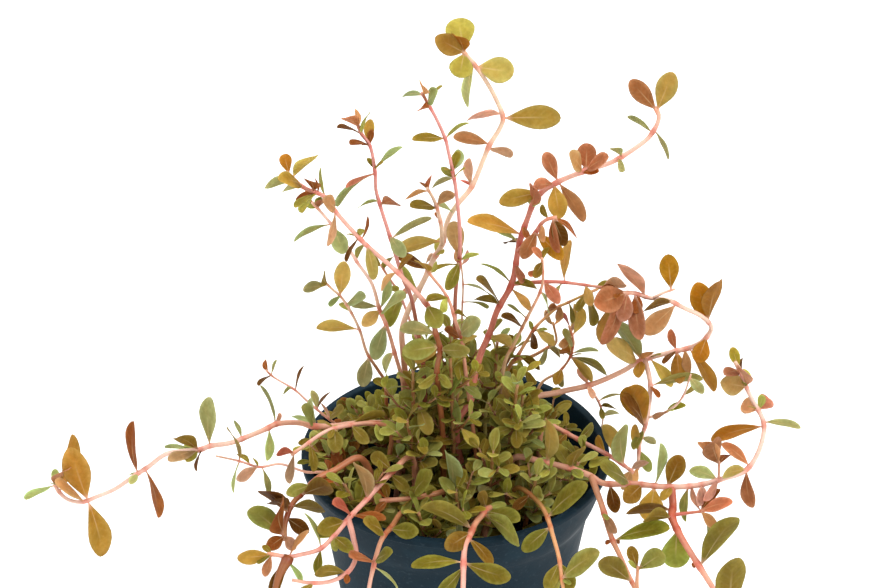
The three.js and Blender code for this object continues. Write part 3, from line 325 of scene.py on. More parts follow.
        (645, 296, 620, 264, 14, -3, PINK), (677, 306, 644, 334, 20, -3, ORANGE),
        (674, 303, 643, 312, 8, -5, BRONZE), (628, 297, 594, 305, 28, -4, SIENNA),
        (618, 293, 602, 345, 15, -3, SIENNA), (634, 294, 641, 340, 18, -5, CLAY),
        (628, 296, 622, 322, 18, -3, CLAY), (638, 295, 636, 314, 12, -3, RUST),
        (640, 361, 612, 320, 16, -3, SAGE), (638, 361, 606, 345, 20, -5, STRAW),
        (616, 293, 606, 344, 14, 2, GOLD), (640, 361, 639, 378, 12, -5, GOLD),
        (588, 386, 592, 399, 8, -4, PINK), (590, 385, 578, 368, 9, 3, PINK),
        (650, 360, 672, 387, 12, -3, STRAW), (642, 361, 653, 352, 7, -3, ORANGE)
    )), Stem(0.6, (
        (651, 298, 4), (663, 293, 4), (675, 289, 4)
    ), (
        (675, 289, 668, 254, 20, 2, AMBER),
    )), Stem(0.95, (
        (645, 360, 12), (650, 381, 8), (650, 396, 5), (647, 420, 1), (640, 443, -2), (638, 470, -5)
    ), (
        (645, 424, 630, 386, 29, -3, AMBER), (643, 430, 621, 399, 11, -4, BROWN),
        (640, 452, 635, 424, 9, 3, STRAW), (644, 430, 634, 450, 9, -4, GREEN),
        (640, 448, 650, 472, 11, -2, FERN), (645, 436, 656, 444, 8, 1, SAGE),
        (650, 386, 658, 398, 6, -4, RUST), (650, 387, 703, 380, 10, 2, GREEN),
        (638, 468, 630, 486, 9, -3, ORANGE)
    )), Stem(0.5, (
        (649, 418, 1), (668, 411, 1), (682, 398, 1), (691, 374, 2)
    ), (
        (668, 411, 685, 404, 8, 3, OLIVE), (665, 412, 655, 420, 7, -4, FAWN),
        (690, 378, 703, 394, 11, -4, SAGE), (683, 397, 697, 388, 5, 3, OLIVE)
    )), Stem(0.5, (
        (590, 386, 8), (594, 394, 8), (600, 405, 9), (603, 418, 9), (601, 430, 9)
    ), (
        (604, 415, 619, 413, 6, 3, SAGE), (602, 407, 616, 409, 5, -4, OLIVE),
        (599, 400, 622, 394, 4, 3, GREEN)
    )))),
    Shoot("long_right_shoot", (9, -7), Skin.PEACH, (Stem(1.2, (
        (514, 458, -9), (546, 463, -11), (569, 468, -12), (591, 476, -13), (602, 483, -14), (635, 484, -16),
        (669, 487, -18), (699, 485, -18), (722, 479, -18), (745, 471, -17), (757, 455, -16), (764, 431, -14),
        (763, 420, -13), (753, 401, -11), (748, 391, -10), (741, 373, -9), (735, 362, -9)
    ), (
        (739, 369, 732, 347, 11, 3, MOSS), (740, 372, 724, 375, 11, -4, SIENNA),
        (742, 374, 742, 358, 6, 4, BROWN), (747, 388, 720, 382, 23, -3, ORANGE),
        (747, 389, 741, 368, 12, -4, PINK), (758, 412, 742, 403, 18, 3, FAWN),
        (758, 412, 769, 398, 18, 4, CLAY), (764, 424, 801, 428, 8, -2, SAGE),
        (762, 426, 711, 441, 14, 1, AMBER), (748, 467, 722, 443, 12, 4, CLAY),
        (746, 469, 723, 475, 12, -4, STRAW), (748, 473, 752, 508, 14, -2, CLAY),
        (668, 485, 681, 455, 20, 3, BRONZE), (720, 481, 690, 469, 14, 4, SAGE),
        (718, 482, 703, 500, 9, -4, PINK), (655, 484, 660, 443, 9, 2, SAGE),
        (610, 486, 616, 513, 14, -4, BROWN), (642, 486, 624, 502, 19, -4, BRONZE),
        (654, 487, 649, 522, 26, -4, GOLD), (690, 487, 686, 522, 9, -2, FERN),
        (700, 486, 698, 506, 9, -4, PINK), (670, 487, 663, 501, 10, -4, GOLD),
        (548, 462, 548, 420, 15, -2, STRAW), (628, 484, 600, 467, 17, -5, MOSS),
        (570, 468, 556, 444, 13, 3, LIME), (571, 469, 582, 448, 12, -4, OLIVE)
    )), Stem(0.5, (
        (719, 479, -18), (719, 470, -18), (719, 461, -18)
    ), (
        (719, 462, 702, 442, 16, -3, ORANGE), (719, 463, 713, 441, 21, -4, SIENNA),
        (719, 463, 729, 455, 8, 4, RUST)
    ), Skin.ROSE), Stem(1.3, (
        (671, 487, -18), (673, 505, -20), (672, 517, -23), (680, 535, -26), (694, 558, -30), (713, 588, -34),
        (735, 625, -39), (745, 648, -41)
    ), (
        (672, 509, 627, 512, 12, -4, BRONZE), (676, 529, 675, 568, 29, -3, GREEN),
        (672, 517, 646, 519, 14, -5, OLIVE), (700, 565, 736, 517, 22, -1, MOSS),
        (698, 561, 692, 566, 6, 1, RUST), (730, 616, 735, 558, 29, -1, OLIVE),
        (724, 605, 700, 630, 18, -3, OLIVE), (744, 646, 768, 668, 20, -2, OLIVE),
        (744, 647, 738, 676, 16, -3, GREEN)
    ), Skin.EMBER), Stem(0.7, (
        (674, 515, -22), (688, 513, -22), (705, 511, -22)
    ), (
        (705, 511, 733, 502, 13, -2, CLAY), (703, 512, 718, 527, 11, -4, ORANGE),
        (700, 511, 692, 486, 6, 4, PINK), (701, 511, 703, 486, 6, 5, PINK), (705, 511, 720, 489, 9, 3, RUST),
        (705, 512, 708, 537, 3, 2, SAGE)
    ), Skin.CRIMSON), Stem(1.1, (
        (592, 477, -13), (602, 506, -18), (611, 536, -22), (621, 558, -26), (630, 578, -28), (637, 594, -30),
        (642, 615, -33)
    ), (
        (631, 583, 601, 559, 22, -2, MOSS), (611, 540, 605, 543, 5, 1, RUST),
        (612, 540, 620, 542, 5, 1, RUST), (606, 512, 617, 533, 10, -4, FAWN),
        (611, 540, 670, 529, 17, -3, MOSS), (640, 612, 622, 636, 17, -2, OLIVE),
        (642, 614, 662, 634, 17, -3, GREEN)
    ), Skin.RUDDY), Stem(0.8, (
        (637, 593, -30), (637, 580, -31), (638, 567, -32)
    ), (
        (638, 568, 630, 546, 12, 3, BRONZE), (638, 568, 664, 553, 20, -3, GREEN)
    ), Skin.RUDDY))),
    Shoot("slanting_pink_shoot", (14, -3), Skin.CORAL, (Stem(1.1, (
        (545, 422, -1), (557, 428, -1), (579, 440, -3), (608, 455, -6), (622, 464, -7), (634, 473, -8)
    ), (
        (622, 462, 605, 424, 16, 1, STRAW), (624, 465, 622, 427, 18, -4, FERN),
        (608, 454, 597, 436, 9, 4, GOLD), (608, 456, 590, 468, 10, -4, LIME),
        (633, 472, 622, 490, 12, -4, ORANGE), (579, 439, 593, 424, 10, 4, MOSS),
        (634, 473, 648, 462, 8, 3, PINK), (566, 432, 556, 446, 10, -4, BRONZE)
    )),)),
    Shoot("front_right_shoot", (8, -13), Skin.HONEY, (Stem(1.0, (
        (516, 488, -14), (536, 500, -18), (546, 514, -22), (553, 536, -27), (559, 558, -31), (562, 580, -34),
        (566, 605, -37)
    ), (
        (549, 519, 588, 485, 21, -2, MOSS), (548, 527, 522, 551, 17, -3, MOSS),
        (560, 561, 572, 590, 17, -3, MOSS), (560, 563, 546, 590, 15, -3, MOSS),
        (561, 580, 600, 552, 21, -2, GREEN), (565, 605, 552, 632, 17, -3, OLIVE),
        (566, 605, 586, 626, 17, -3, OLIVE), (530, 495, 545, 482, 9, 5, OLIVE),
        (529, 497, 512, 508, 10, -3, BROWN)
    )),)),
    Shoot("front_shoot", (3.5, -15), Skin.CORAL, (Stem(1.25, (
        (490, 508, -18), (475, 524, -23), (470, 535, -25.5), (465, 546, -28), (463, 588, -35),
        (461, 630, -41), (462, 655, -44)
    ), (
        (471, 530, 422, 506, 18, -2, MOSS), (485, 515, 519, 543, 18, -9, GREEN),
        (487, 512, 520, 521, 18, -5, MOSS), (463, 563, 411, 567, 14, -2, MOSS),
        (463, 568, 436, 596, 14, -4, MOSS), (465, 562, 511, 578, 20, -2, MOSS),
        (471, 540, 492, 566, 12, -4, BRONZE), (471, 532, 445, 549, 20, -5, BRONZE),
        (461, 630, 438, 652, 18, -3, OLIVE), (462, 631, 487, 646, 18, -3, OLIVE),
        (462, 654, 452, 684, 17, -3, OLIVE), (463, 654, 476, 683, 16, -3, GREEN)
    )),)),
    Shoot("front_left_shoot", (-6, -14), Skin.TAWNY, (Stem(1.1, (
        (404, 512, -18), (392, 526, -23.4), (381, 541, -27.6), (372, 573, -31), (369, 588, -33),
        (365, 618, -37)
    ), (
        (390, 530, 419, 532, 17, -3, MOSS), (385, 537, 363, 522, 14, -4, OLIVE),
        (374, 563, 393, 552, 12, -3, MOSS), (374, 564, 349, 557, 9, -4, SIENNA),
        (375, 566, 398, 590, 4, -2, SAGE), (366, 616, 343, 637, 16, -3, OLIVE),
        (366, 616, 384, 644, 16, -3, OLIVE)
    )),)),
    Shoot("pale_front_shoot", (0, -12), Skin.TAWNY, (Stem(1.3, (
        (452, 492, -16), (430, 495, -18), (414, 498, -18), (390, 500, -18), (376, 501, -17.5)
    ), (
        (415, 497, 433, 474, 16, -4, MOSS), (450, 494, 453, 521, 12, -4, MOSS),
        (451, 491, 447, 453, 16, -3, SAGE), (390, 500, 385, 484, 9, 3, BRONZE),
        (414, 499, 402, 514, 9, -2, GREEN), (380, 501, 366, 508, 7, 3, CLAY)
    )),)),
    Shoot("left_front_shoot", (-7, -9), Skin.CORAL, (Stem(1.15, (
        (411, 457, -10), (392, 472, -14), (368, 498, -19), (349, 518, -23), (334, 536, -26.5),
        (320, 549, -28.5), (299, 555, -30), (287, 557, -31), (277, 555, -31), (267, 554, -31)
    ), (
        (393, 471, 372, 453, 15, 3, OLIVE), (392, 474, 410, 490, 13, -4, OLIVE),
        (368, 499, 356, 464, 15, -3, ORANGE), (350, 517, 332, 504, 9, -4, RED),
        (351, 516, 386, 520, 10, -2, RUST), (345, 522, 317, 531, 20, -3, OLIVE),
        (334, 536, 353, 553, 14, -4, MOSS), (322, 548, 318, 576, 9, -3, MOSS),
        (268, 554, 237, 558, 15, -2, GOLD), (267, 555, 265, 577, 10, -3, CLAY),
        (290, 556, 309, 530, 6, 3, ORANGE), (321, 548, 304, 513, 5, 4, SAGE)
    )), Stem(1.7, (
        (287, 557, -31), (281, 572, -33), (276, 590, -35), (274, 615, -38)
    ), (
        (286, 560, 302, 583, 6, -2, SAGE), (286, 562, 272, 598, 13, -4, BROWN),
        (275, 600, 254, 620, 16, -3, OLIVE), (274, 613, 292, 642, 16, -3, OLIVE)
    ), Skin.UMBER), Stem(0.95, (
        (349, 518, -23), (353, 536, -26.5), (356, 556, -29.5), (349, 571, -32), (332, 581, -33.5),
        (312, 583, -34), (292, 580, -34)
    ), (
        (347, 575, 315, 573, 13, -3, OLIVE), (313, 583, 297, 600, 10, -3, OLIVE)
    ), Skin.CORAL))),
    Shoot("left_cluster_shoot", (-12, -8), Skin.UMBER, (Stem(1.4, (
        (360, 458, -10), (335, 470, -13), (318, 478, -15), (306, 490, -17), (293, 503, -20), (286, 520, -23),
        (284, 540, -26.5)
    ), (
        (284, 540, 250, 508, 22, -2, GREEN), (287, 519, 309, 533, 15, -4, BROWN),
        (287, 515, 261, 491, 14, -4, BROWN), (285, 538, 283, 504, 16, -6, RUST),
        (285, 538, 266, 549, 14, -4, RUST), (300, 498, 331, 486, 20, -4, BRONZE),
        (311, 484, 286, 494, 14, -3, GREEN), (292, 508, 324, 510, 12, -4, OLIVE),
        (290, 508, 269, 503, 9, -5, BROWN), (284, 540, 296, 549, 12, -4, PINK)
    )),)),
    Shoot("long_left_shoot", (-10, -2), Skin.PEACH, (Stem(1.15, (
        (395, 426, -2), (375, 423, -3), (350, 424, -3), (335, 426, -3), (311, 426, -3), (300, 423, -3),
        (276, 424, -4), (268, 428, -5), (249, 436, -6), (230, 443, -8), (210, 446, -9), (199, 450, -9),
        (184, 451, -10), (166, 454, -11), (148, 467, -12), (134, 476, -13), (115, 489, -13), (96, 497, -14),
        (82, 502, -14), (67, 499, -13), (57, 489, -12), (55, 482, -12)
    ), (
        (86, 499, 70, 447, 27, 1, GOLD), (60, 493, 72, 434, 15, 4, GOLD), (89, 503, 103, 556, 23, -2, GOLD),
        (84, 502, 55, 484, 10, -5, ORANGE), (56, 482, 26, 500, 7, 2, SAGE),
        (56, 484, 68, 470, 9, -4, ORANGE), (138, 472, 134, 421, 11, 2, RUST),
        (146, 468, 158, 518, 9, -2, RUST), (200, 450, 176, 438, 13, -4, OLIVE),
        (199, 453, 168, 461, 12, -4, FAWN), (199, 451, 165, 448, 4, 3, SAGE),
        (203, 453, 197, 471, 3, -4, BROWN), (209, 446, 211, 397, 16, 1, SAGE),
        (242, 437, 234, 420, 5, 3, SAGE), (277, 421, 260, 385, 4, 3, SAGE), (276, 422, 282, 416, 6, 4, PINK),
        (270, 428, 267, 461, 10, -3, SAGE), (314, 425, 301, 407, 11, -4, FERN),
        (315, 425, 310, 398, 7, 3, SAGE), (312, 424, 293, 416, 7, 4, SAGE)
    )),)),
    Shoot("pink_left_shoot", (-14, -5), Skin.TAWNY, (Stem(1.0, (
        (390, 430, -7), (374, 423, -8), (350, 425, -9), (332, 429, -10), (321, 434, -11), (307, 444, -12),
        (291, 455, -13)
    ), (
        (291, 456, 277, 453, 9, -3, RED), (291, 456, 290, 484, 9, -4, PINK),
        (334, 430, 336, 453, 17, -4, OLIVE), (352, 424, 386, 415, 9, 3, OLIVE),
        (374, 425, 380, 441, 9, -4, GREEN), (352, 426, 369, 443, 13, -4, OLIVE),
        (310, 443, 313, 472, 9, -4, OLIVE)
    )),)),
    Shoot("thin_left_shoot", (-16, -9), Skin.BLUSH, (Stem(0.6, (
        (330, 474, -10), (306, 472, -10), (280, 464, -10), (260, 467, -11), (239, 461, -12), (216, 456, -13)
    ), (
        (257, 467, 236, 479, 12, -4, PINK), (240, 462, 234, 493, 3, -4, SAGE),
        (240, 461, 227, 429, 4, -3, OLIVE), (250, 462, 237, 454, 6, 3, OLIVE),
        (261, 467, 268, 497, 7, -3, SAGE)
    )),)),
    Shoot("thin_back_left_shoot", (-16, 2), Skin.BLUSH, (Stem(0.6, (
        (345, 432, 2), (338, 426, 2), (320, 412, 3), (306, 400, 4), (295, 390, 5), (272, 376, 7),
        (266, 370, 7)
    ), (
        (267, 374, 265, 360, 6, 3, RUST), (273, 376, 277, 360, 3, 3, SAGE),
        (297, 390, 304, 366, 3, 2, BROWN), (271, 378, 259, 386, 5, -4, BROWN),
        (292, 389, 283, 395, 4, -4, SAGE), (315, 409, 312, 390, 8, 3, SAGE),
        (319, 409, 331, 392, 3, 3, BROWN), (330, 419, 321, 403, 4, 3, PINK),
        (331, 420, 344, 410, 9, -4, OLIVE)
    )),)),
    Shoot("thin_pale_shoot", (3.5, 8), Skin.FADED, (Stem(0.55, (
        (463, 345, 7), (462, 315, 7), (463, 285, 7), (461, 262, 7)
    ), (
        (463, 283, 491, 296, 3, 3, SAGE), (463, 302, 487, 309, 3, 4, SAGE),
        (461, 263, 455, 251, 6, 3, ORANGE), (461, 263, 468, 250, 6, 3, PINK)
    )),)),
    Shoot("inner_pink_shoot", (5, -6), Skin.ROSE, (Stem(0.85, (
        (463, 350, -5), (462, 341, -5), (455, 320, -6), (450, 303, -6), (442, 289, -7), (433, 278, -7),
        (427, 270, -7)
    ), (
        (427, 271, 417, 262, 7, -4, GOLD), (428, 272, 437, 262, 6, 3, GREEN),
        (460, 336, 481, 320, 18, -4, SAGE), (454, 313, 466, 317, 6, -4, OLIVE),
        (446, 297, 440, 312, 9, -4, GREEN), (464, 345, 474, 335, 11, -3, STRAW),
        (461, 338, 444, 330, 9, 4, RUST)
    )),)),
)

LOW_SHOOTS: tuple[LowShoot, ...] = (
    LowShoot((-2, -1), (-3, -1), 15), LowShoot((-5, -5), (-8, -9), 12), LowShoot((5, -9), (6, -14), 9),
    LowShoot((10, -2), (11, -3), 13), LowShoot((-17, -1), (-20, 0), 3), LowShoot((-4, -17), (-6, -22), 3),
    LowShoot((1, -16), (0, -19), 5), LowShoot((11, -11), (13, -15), 5), LowShoot((-13, -14), (-18, -17), 5),
    LowShoot((16, -8), (20, -11), 5), LowShoot((-17, -5), (-21, -6), 6), LowShoot((15, 0), (16, 1), 0),
    LowShoot((-14, 8), (-17, 9), 2), LowShoot((-4, 9), (-5, 10), 14), LowShoot((4, 11), (5, 13), 9),
    LowShoot((10, 10), (11, 11), -2), LowShoot((-8, 12), (-9, 13), -3), LowShoot((0, 6), (-1, 7), 19),
    LowShoot((0, 15), (0, 17), 4), LowShoot((13, 6), (17, 8), 1), LowShoot((-9, 3), (-12, 3), 6),
    LowShoot((-7, -4), (-7, -5), 19), LowShoot((0, -4), (-1, -6), 24), LowShoot((6, 6), (7, 7), 17),
    LowShoot((8, -4), (10, -6), 17),
)

# Displayed to linear colour: where the straight part ends, its slope, and the bent part's lift and power
KNEE, SLOPE, LIFTED, POWER = 0.04045, 12.92, 0.055, 2.4

# The samples between two points of a route, and a direction that no stem runs along
SPLINE_SAMPLES = 16
ASKEW = (0.31, 0.85, 0.42)


def unit(vector: Vec) -> Vec:
    """The vector, or each row of them, at length one."""
    return vector / np.linalg.norm(vector, axis=-1, keepdims=True)


def linear(colour: Sequence[float]) -> Vec:
    """A displayed colour as the linear values that shaders use."""
    values = np.asarray(colour, float)
    return np.where(values <= KNEE, values / SLOPE, ((values + LIFTED) / (1 + LIFTED)) ** POWER)


def smooth(low: float, high: float, value: Vec) -> Vec:
    """Zero below low, one above high, and an even curve between them."""
    share = np.clip((value - low) / (high - low), 0.0, 1.0)
    return share * share * (3.0 - 2.0 * share)


def blend(first: Vec, second: Vec, share: Vec) -> Vec:
    """Rows of colour between the first and the second, by a share for each row."""
    return first * (1 - share[:, None]) + second * share[:, None]


def run_along(line: Vec) -> Vec:
    """How far along a line each of its points is."""
    return np.concatenate(((0.0,), np.cumsum(np.linalg.norm(np.diff(line, axis=0), axis=1))))


def round_circle(count: int) -> Vec:
    """The angles of points spaced evenly round a circle."""
    return np.linspace(0.0, 2 * np.pi, count, endpoint=False)


def level_direction(angle: float) -> Vec:
    """The level unit direction at an angle from the right."""
    return np.array((math.cos(angle), math.sin(angle), 0.0))


@dataclass(frozen=True)
class View:
    """The upright view in which the shoots' routes are read, as a pinhole with its eye in millimetres."""

    eye: Row = (-2.6, -327.7, 279.4)
    tilt_deg: float = 31.1
    reach: float = 2362.0
    width: float = 880.0
    height: float = 588.0

    @property
    def forward(self) -> Vec:
        """The direction of sight."""
        tilt = math.radians(self.tilt_deg)
        return np.array((0.0, math.cos(tilt), -math.sin(tilt)))

    @property
    def upward(self) -> Vec:
        """The direction that the view shows as up."""
        tilt = math.radians(self.tilt_deg)
        return np.array((0.0, math.sin(tilt), math.cos(tilt)))

    def seen(self, across: float, down: float, back: float) -> Vec:
        """Finds the point that the view shows at a place.

        Args:
            across, down: the place in the view.
            back: how far the point lies behind the pot's axis, in millimetres.

        Returns:
            The point in millimetres.
        """
        sight = self.forward + self.upward * (self.height / 2 - down) / self.reach
        sight[0] += (across - self.width / 2) / self.reach
        return np.asarray(self.eye) + sight * (back - self.eye[1]) / sight[1]

    def places(self, points: Vec) -> Vec:
        """Finds where the view shows points.

        Args:
            points: rows of points in millimetres.

        Returns:
            Rows of across, down and depth along the sight.
        """
        sight = np.atleast_2d(points) - self.eye
        depth = sight @ self.forward
        across = self.width / 2 + self.reach * sight[:, 0] / depth
        down = self.height / 2 - self.reach * (sight @ self.upward) / depth
        return np.stack((across, down, depth), axis=1)

    def nearest(self, points: Vec, across: float, down: float) -> int:
        """The index of the point that the view shows nearest to a place."""
        gaps = self.places(points)[:, :2] - (across, down)
        return int(np.argmin((gaps * gaps).sum(axis=1)))


def place_object(name: str, data: bpy.types.ID) -> bpy.types.Object:
    """Adds an object to the scene.

    Args:
        name: its name.
        data: its mesh, lamp or lens.

    Returns:
        The object.
    """
    thing = bpy.data.objects.new(name, data)
    bpy.context.scene.collection.objects.link(thing)
    return thing


@lru_cache(maxsize=None)
def loft_faces(rings: int, sides: int) -> tuple[tuple[int, ...], ...]:
    """Lists the faces of a closed loft whose points are its rings, its start and its end.

    Args:
        rings: how many rings of points there are.
        sides: how many points each ring has.

    Returns:
        The faces, outward, as indices into the loft's points.
    """
    faces = []
    start, end, last = rings * sides, rings * sides + 1, (rings - 1) * sides
    for side in range(sides):
        after = (side + 1) % sides
        for ring in range(rings - 1):
            a, b = ring * sides + side, ring * sides + after
            faces.append((a, b, b + sides, a + sides))
        faces.append((start, after, side))
        faces.append((end, last + side, last + after))
    return tuple(faces)


class MeshBin:
    """Collects lofts with their colours and makes one mesh object of them."""

    def __init__(self) -> None:
        """Starts an empty bin."""
        self.points: list[Vec] = []
        self.faces: list[tuple[int, ...]] = []
        self.covers: list[Cover] = []
        self.attributes: dict[str, list[Vec]] = {"tone": [], "margin": [], "place": []}
        self.count = 0

    def add(self, points: Vec, rings: int, cover: Cover = Cover.BODY, **attributes: Vec) -> None:
        """Adds one closed loft.

        Args:
            points: its points in millimetres: its rings, its start and its end.
            rings: how many rings there are.
            cover: which material covers it.
            **attributes: one row, or one row for each point, of each attribute.
        """
        faces = loft_faces(rings, (len(points) - 2) // rings)
        self.faces.extend(tuple(index + self.count for index in face) for face in faces)
        self.covers.extend([cover] * len(faces))
        self.points.append(points)
        for name, rows in self.attributes.items():
            value = attributes.get(name, np.zeros(3))
            rows.append(np.broadcast_to(value, (len(points), 3)))
        self.count += len(points)

    def make(self, name: str, materials: Sequence[bpy.types.Material], node: str) -> bpy.types.Object:
        """Makes the object, puts it on the root body and in place of its solid.

        Args:
            name: the piece's name.
            materials: its materials, in the order of the covers.
            node: the solid that it replaces.

        Returns:
            The new object, at the origin.
        """
        mesh = bpy.data.meshes.new(name)
        mesh.from_pydata((np.concatenate(self.points) * MM).tolist(), [], self.faces)
        for material in materials:
            mesh.materials.append(material)
        mesh.polygons.foreach_set("material_index", self.covers)
        mesh.shade_smooth()
        for label in ("tone", "margin"):
            colours = np.concatenate(self.attributes[label])
            paint = np.column_stack((colours, np.ones(len(colours))))
            mesh.color_attributes.new(label, "FLOAT_COLOR", "POINT").data.foreach_set("color", paint.ravel())
        places = np.concatenate(self.attributes["place"])
        mesh.attributes.new("place", "FLOAT_VECTOR", "POINT").data.foreach_set("vector", places.ravel())
        piece = place_object(name, mesh)
        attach(piece, "root")
        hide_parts(node)
        return piece


def smooth_route(points: Sequence[Vec], spacing: float) -> Vec:
    """Runs a centripetal spline through points and samples it evenly.

    Args:
        points: the points in millimetres, from the foot to the tip.
        spacing: the wanted distance between samples.

    Returns:
        Rows of points along the spline.
    """
    ends = [2 * points[0] - points[1], *points, 2 * points[-1] - points[-2]]
    shares = np.linspace(0.0, 1.0, SPLINE_SAMPLES, endpoint=False)[:, None]
    dense = []
    for a, b, c, d in zip(ends, ends[1:], ends[2:], ends[3:]):
        gaps = ((a, b), (b, c), (c, d))
        before, here, after = (math.sqrt(max(np.linalg.norm(q - p), TINY)) for p, q in gaps)
        leave = ((b - a) / before - (c - a) / (before + here) + (c - b) / here) * here
        arrive = ((c - b) / here - (d - b) / (here + after) + (d - c) / after) * here
        dense.append(b + leave * shares + (3 * (c - b) - 2 * leave - arrive) * shares**2
                     + (2 * (b - c) + leave + arrive) * shares**3)
    line = np.vstack((*dense, points[-1]))
    run = run_along(line)
    stops = np.linspace(0.0, run[-1], max(3, round(run[-1] / spacing)) + 1)
    return np.stack([np.interp(stops, run, line[:, axis]) for axis in range(3)], axis=1)


def tube(line: Vec, radius: Vec | float, sides: int) -> Vec:
    """Lists the points of a tube round a line, whose rings don't twist along it.

    Args:
        line: rows of points along its middle.
        radius: its radius, or one radius for each point.
        sides: how many points each ring has.

    Returns:
        The rings' points, then its two ends.
    """
    travel = unit(np.gradient(line, axis=0))
    first = np.cross(travel[0], ASKEW)
    rows = []
    for direction in travel:
        first = unit(first - direction * (first @ direction))
        rows.append(first)
    across = np.array(rows)
    over = np.cross(travel, across)
    angles = round_circle(sides)[None, :, None]
    ring = np.cos(angles) * across[:, None] + np.sin(angles) * over[:, None]
    reach = np.broadcast_to(radius, len(line))[:, None, None]
    return np.vstack(((line[:, None] + reach * ring).reshape(-1, 3), line[0], line[-1]))


def turned(profile: Vec, segments: int) -> Vec:
    """Turns a profile round the upright axis.

    Args:
        profile: rows of radius and height.
        segments: how many points each ring has.

    Returns:
        The points, ring by ring.
    """
    angles = round_circle(segments)
    radius, height = profile[:, :1], np.repeat(profile[:, 1:], segments, axis=1)
    return np.stack((radius * np.cos(angles), radius * np.sin(angles), height), axis=2)


@dataclass(frozen=True)
class Habit:
    """How the plant's stems grow: samples, girth along the stem, joints and colours."""

    spacing: float = 0.7
    sides: int = 10
    tip_share: float = 0.54
    joint_swell: float = 0.2
    joint_reach: float = 0.6
    joint: Row = (0.94, 0.75, 0.72)
    young: Row = (0.82, 0.66, 0.46)
    young_share: float = 0.3
    young_length: float = 4.0

    def add_stem(self, mesh: MeshBin, line: Vec, girth: float, joints: Sequence[int], skin: Skin,
                 start: float = 0.0) -> None:
        """Adds one stem to a mesh.

        Args:
            mesh: the bin that takes the stem.
            line: rows of points along its middle.
            girth: its thickness near its foot, in millimetres.
            joints: the indices of the points where leaves sit.
            skin: its colours.
            start: how far along the shoot it starts, in millimetres.
        """
        run = run_along(line)
        nearness = np.zeros(len(line))
        for joint in set(joints):
            nearness = np.maximum(nearness, np.exp(-(((run - run[joint]) / self.joint_reach) ** 2)))
        radius = girth / 2 * np.linspace(1.0, self.tip_share, len(line)) * (1 + self.joint_swell * nearness)
        upper, lower, meeting = skin.value
        paint = blend(linear(lower), linear(upper), smooth(*meeting, start + run))
        paint = paint * (1 - nearness[:, None] * (1 - linear(self.joint)))
        youth = self.young_share * smooth(run[-1] - self.young_length, run[-1], run)
        paint = blend(paint, linear(self.young), youth)
        tone = np.vstack((np.repeat(paint, self.sides, axis=0), paint[:1], paint[-1:]))
        mesh.add(tube(line, radius, self.sides), len(line), tone=tone)


@dataclass(frozen=True)
class LeafForm:
    """A leaf's own form: an obovate blade on a wedge-shaped base, crowned, cupped and thin.

    Lengths are in millimetres, rows are shares of the leaf's length, columns of its half width.
    """

    rows: Row = (0.0, 0.05, 0.11, 0.19, 0.29, 0.4, 0.52, 0.64, 0.75, 0.85, 0.93, 0.98)
    columns: Row = (1.0, 0.93, 0.62, 0.28, 0.0, -0.28, -0.62, -0.93, -1.0)
    proportion: float = 0.44
    stalk: float = 0.16
    thickness: float = 0.14
    thinning: float = 0.5
    bow: float = 0.06
    cup: float = 0.22
    wave: float = 0.05
    waves: float = 9.0
    twist_from: float = 0.3
    # The blade's outline: its power at the base and how much of it is lost towards the tip
    outline: Row = (0.85, 0.35)
    # The height and the half width of the midrib, and of the groove above it
    rib: Row = (0.1, 0.12)
    groove: Row = (0.06, 0.1)
    # The least and the most of what is drawn for each leaf: where it is widest, bow, cup, wave, twist
    least: Row = (1.28, 0.7, 0.3, 0.0, -0.12)
    most: Row = (1.6, 1.5, 1.5, 6.3, 0.12)
    # How much lighter it is than its tone, as a painted lift against the shade among dense low leaves, and
    # how far its lightness and each channel vary
    shade_lift: float = 0.0
    lightness_sway: float = 0.05
    channel_sway: float = 0.02

    def add(self, mesh: MeshBin, base: Vec, tip: Vec, width: float, side: Vec, tone: Tone,
            rng: np.random.Generator) -> None:
        """Adds one leaf to a mesh.

        Args:
            mesh: the bin that takes the leaf.
            base: where its stalk starts, in millimetres.
            tip: the point of its tip.
            width: its greatest width.
            side: the unit direction of its width.
            tone: its colour.
            rng: the source of its small differences.
        """
        length = float(np.linalg.norm(tip - base))
        along = (tip - base) / length
        normal = np.cross(along, side)
        shape, bow, cup, phase, twist = rng.uniform(self.least, self.most)
        run, across = np.meshgrid(self.rows, self.columns, indexing="ij")
        power, loss = self.outline
        blade = np.sin(np.pi * run**shape) ** (power - loss * run)
        half = np.maximum(blade * width / 2, self.stalk * (1 - run))
        turn = twist * (run - self.twist_from)
        reach = half * across
        lift = 4 * self.bow * bow * length * run * (1 - run)
        lift = lift + self.cup * cup * np.abs(reach) * run
        lift = lift + self.wave * half * np.sin(self.waves * run + phase) * across * np.abs(across)
        depth = self.thickness / 2 * np.sqrt(np.clip(1 - across**2, 0, 1)) * (1 - self.thinning * run)
        ridges = (self.rib, self.groove)
        rib, groove = (tall * (1 - run) * np.exp(-((across / wide) ** 2)) for tall, wide in ridges)
        sheets = []
        for rise in (lift + depth + rib - groove, lift - depth - rib):
            rise = rise + reach * np.sin(turn)
            sheets.append(base + along * (length * run)[..., None] + side * (reach * np.cos(turn))[..., None]
                          + normal * rise[..., None])
        rings = np.concatenate((sheets[0], sheets[1][:, -2:0:-1]), axis=1)
        place = np.stack((run, across, np.ones_like(run)), axis=2)
        places = np.concatenate((place, place[:, -2:0:-1] * (1, 1, -1)), axis=1)
        points = np.vstack((rings.reshape(-1, 3), base, tip))
        spots = np.vstack((places.reshape(-1, 3), (0, 0, 0), (1, 0, 0)))
        # Painted light: the lift brightens the leaf against the shade it sits in, then its tone sways at
        # random
        sway = self.shade_lift + rng.normal(0.0, self.lightness_sway) + rng.normal(0.0, self.channel_sway, 3)
        body, margin = (linear(np.clip(np.array(colour) * (1 + sway), 0, 1)) for colour in tone.value)
        mesh.add(points, len(self.rows), Cover.LEAF, tone=body, margin=margin, place=spots)
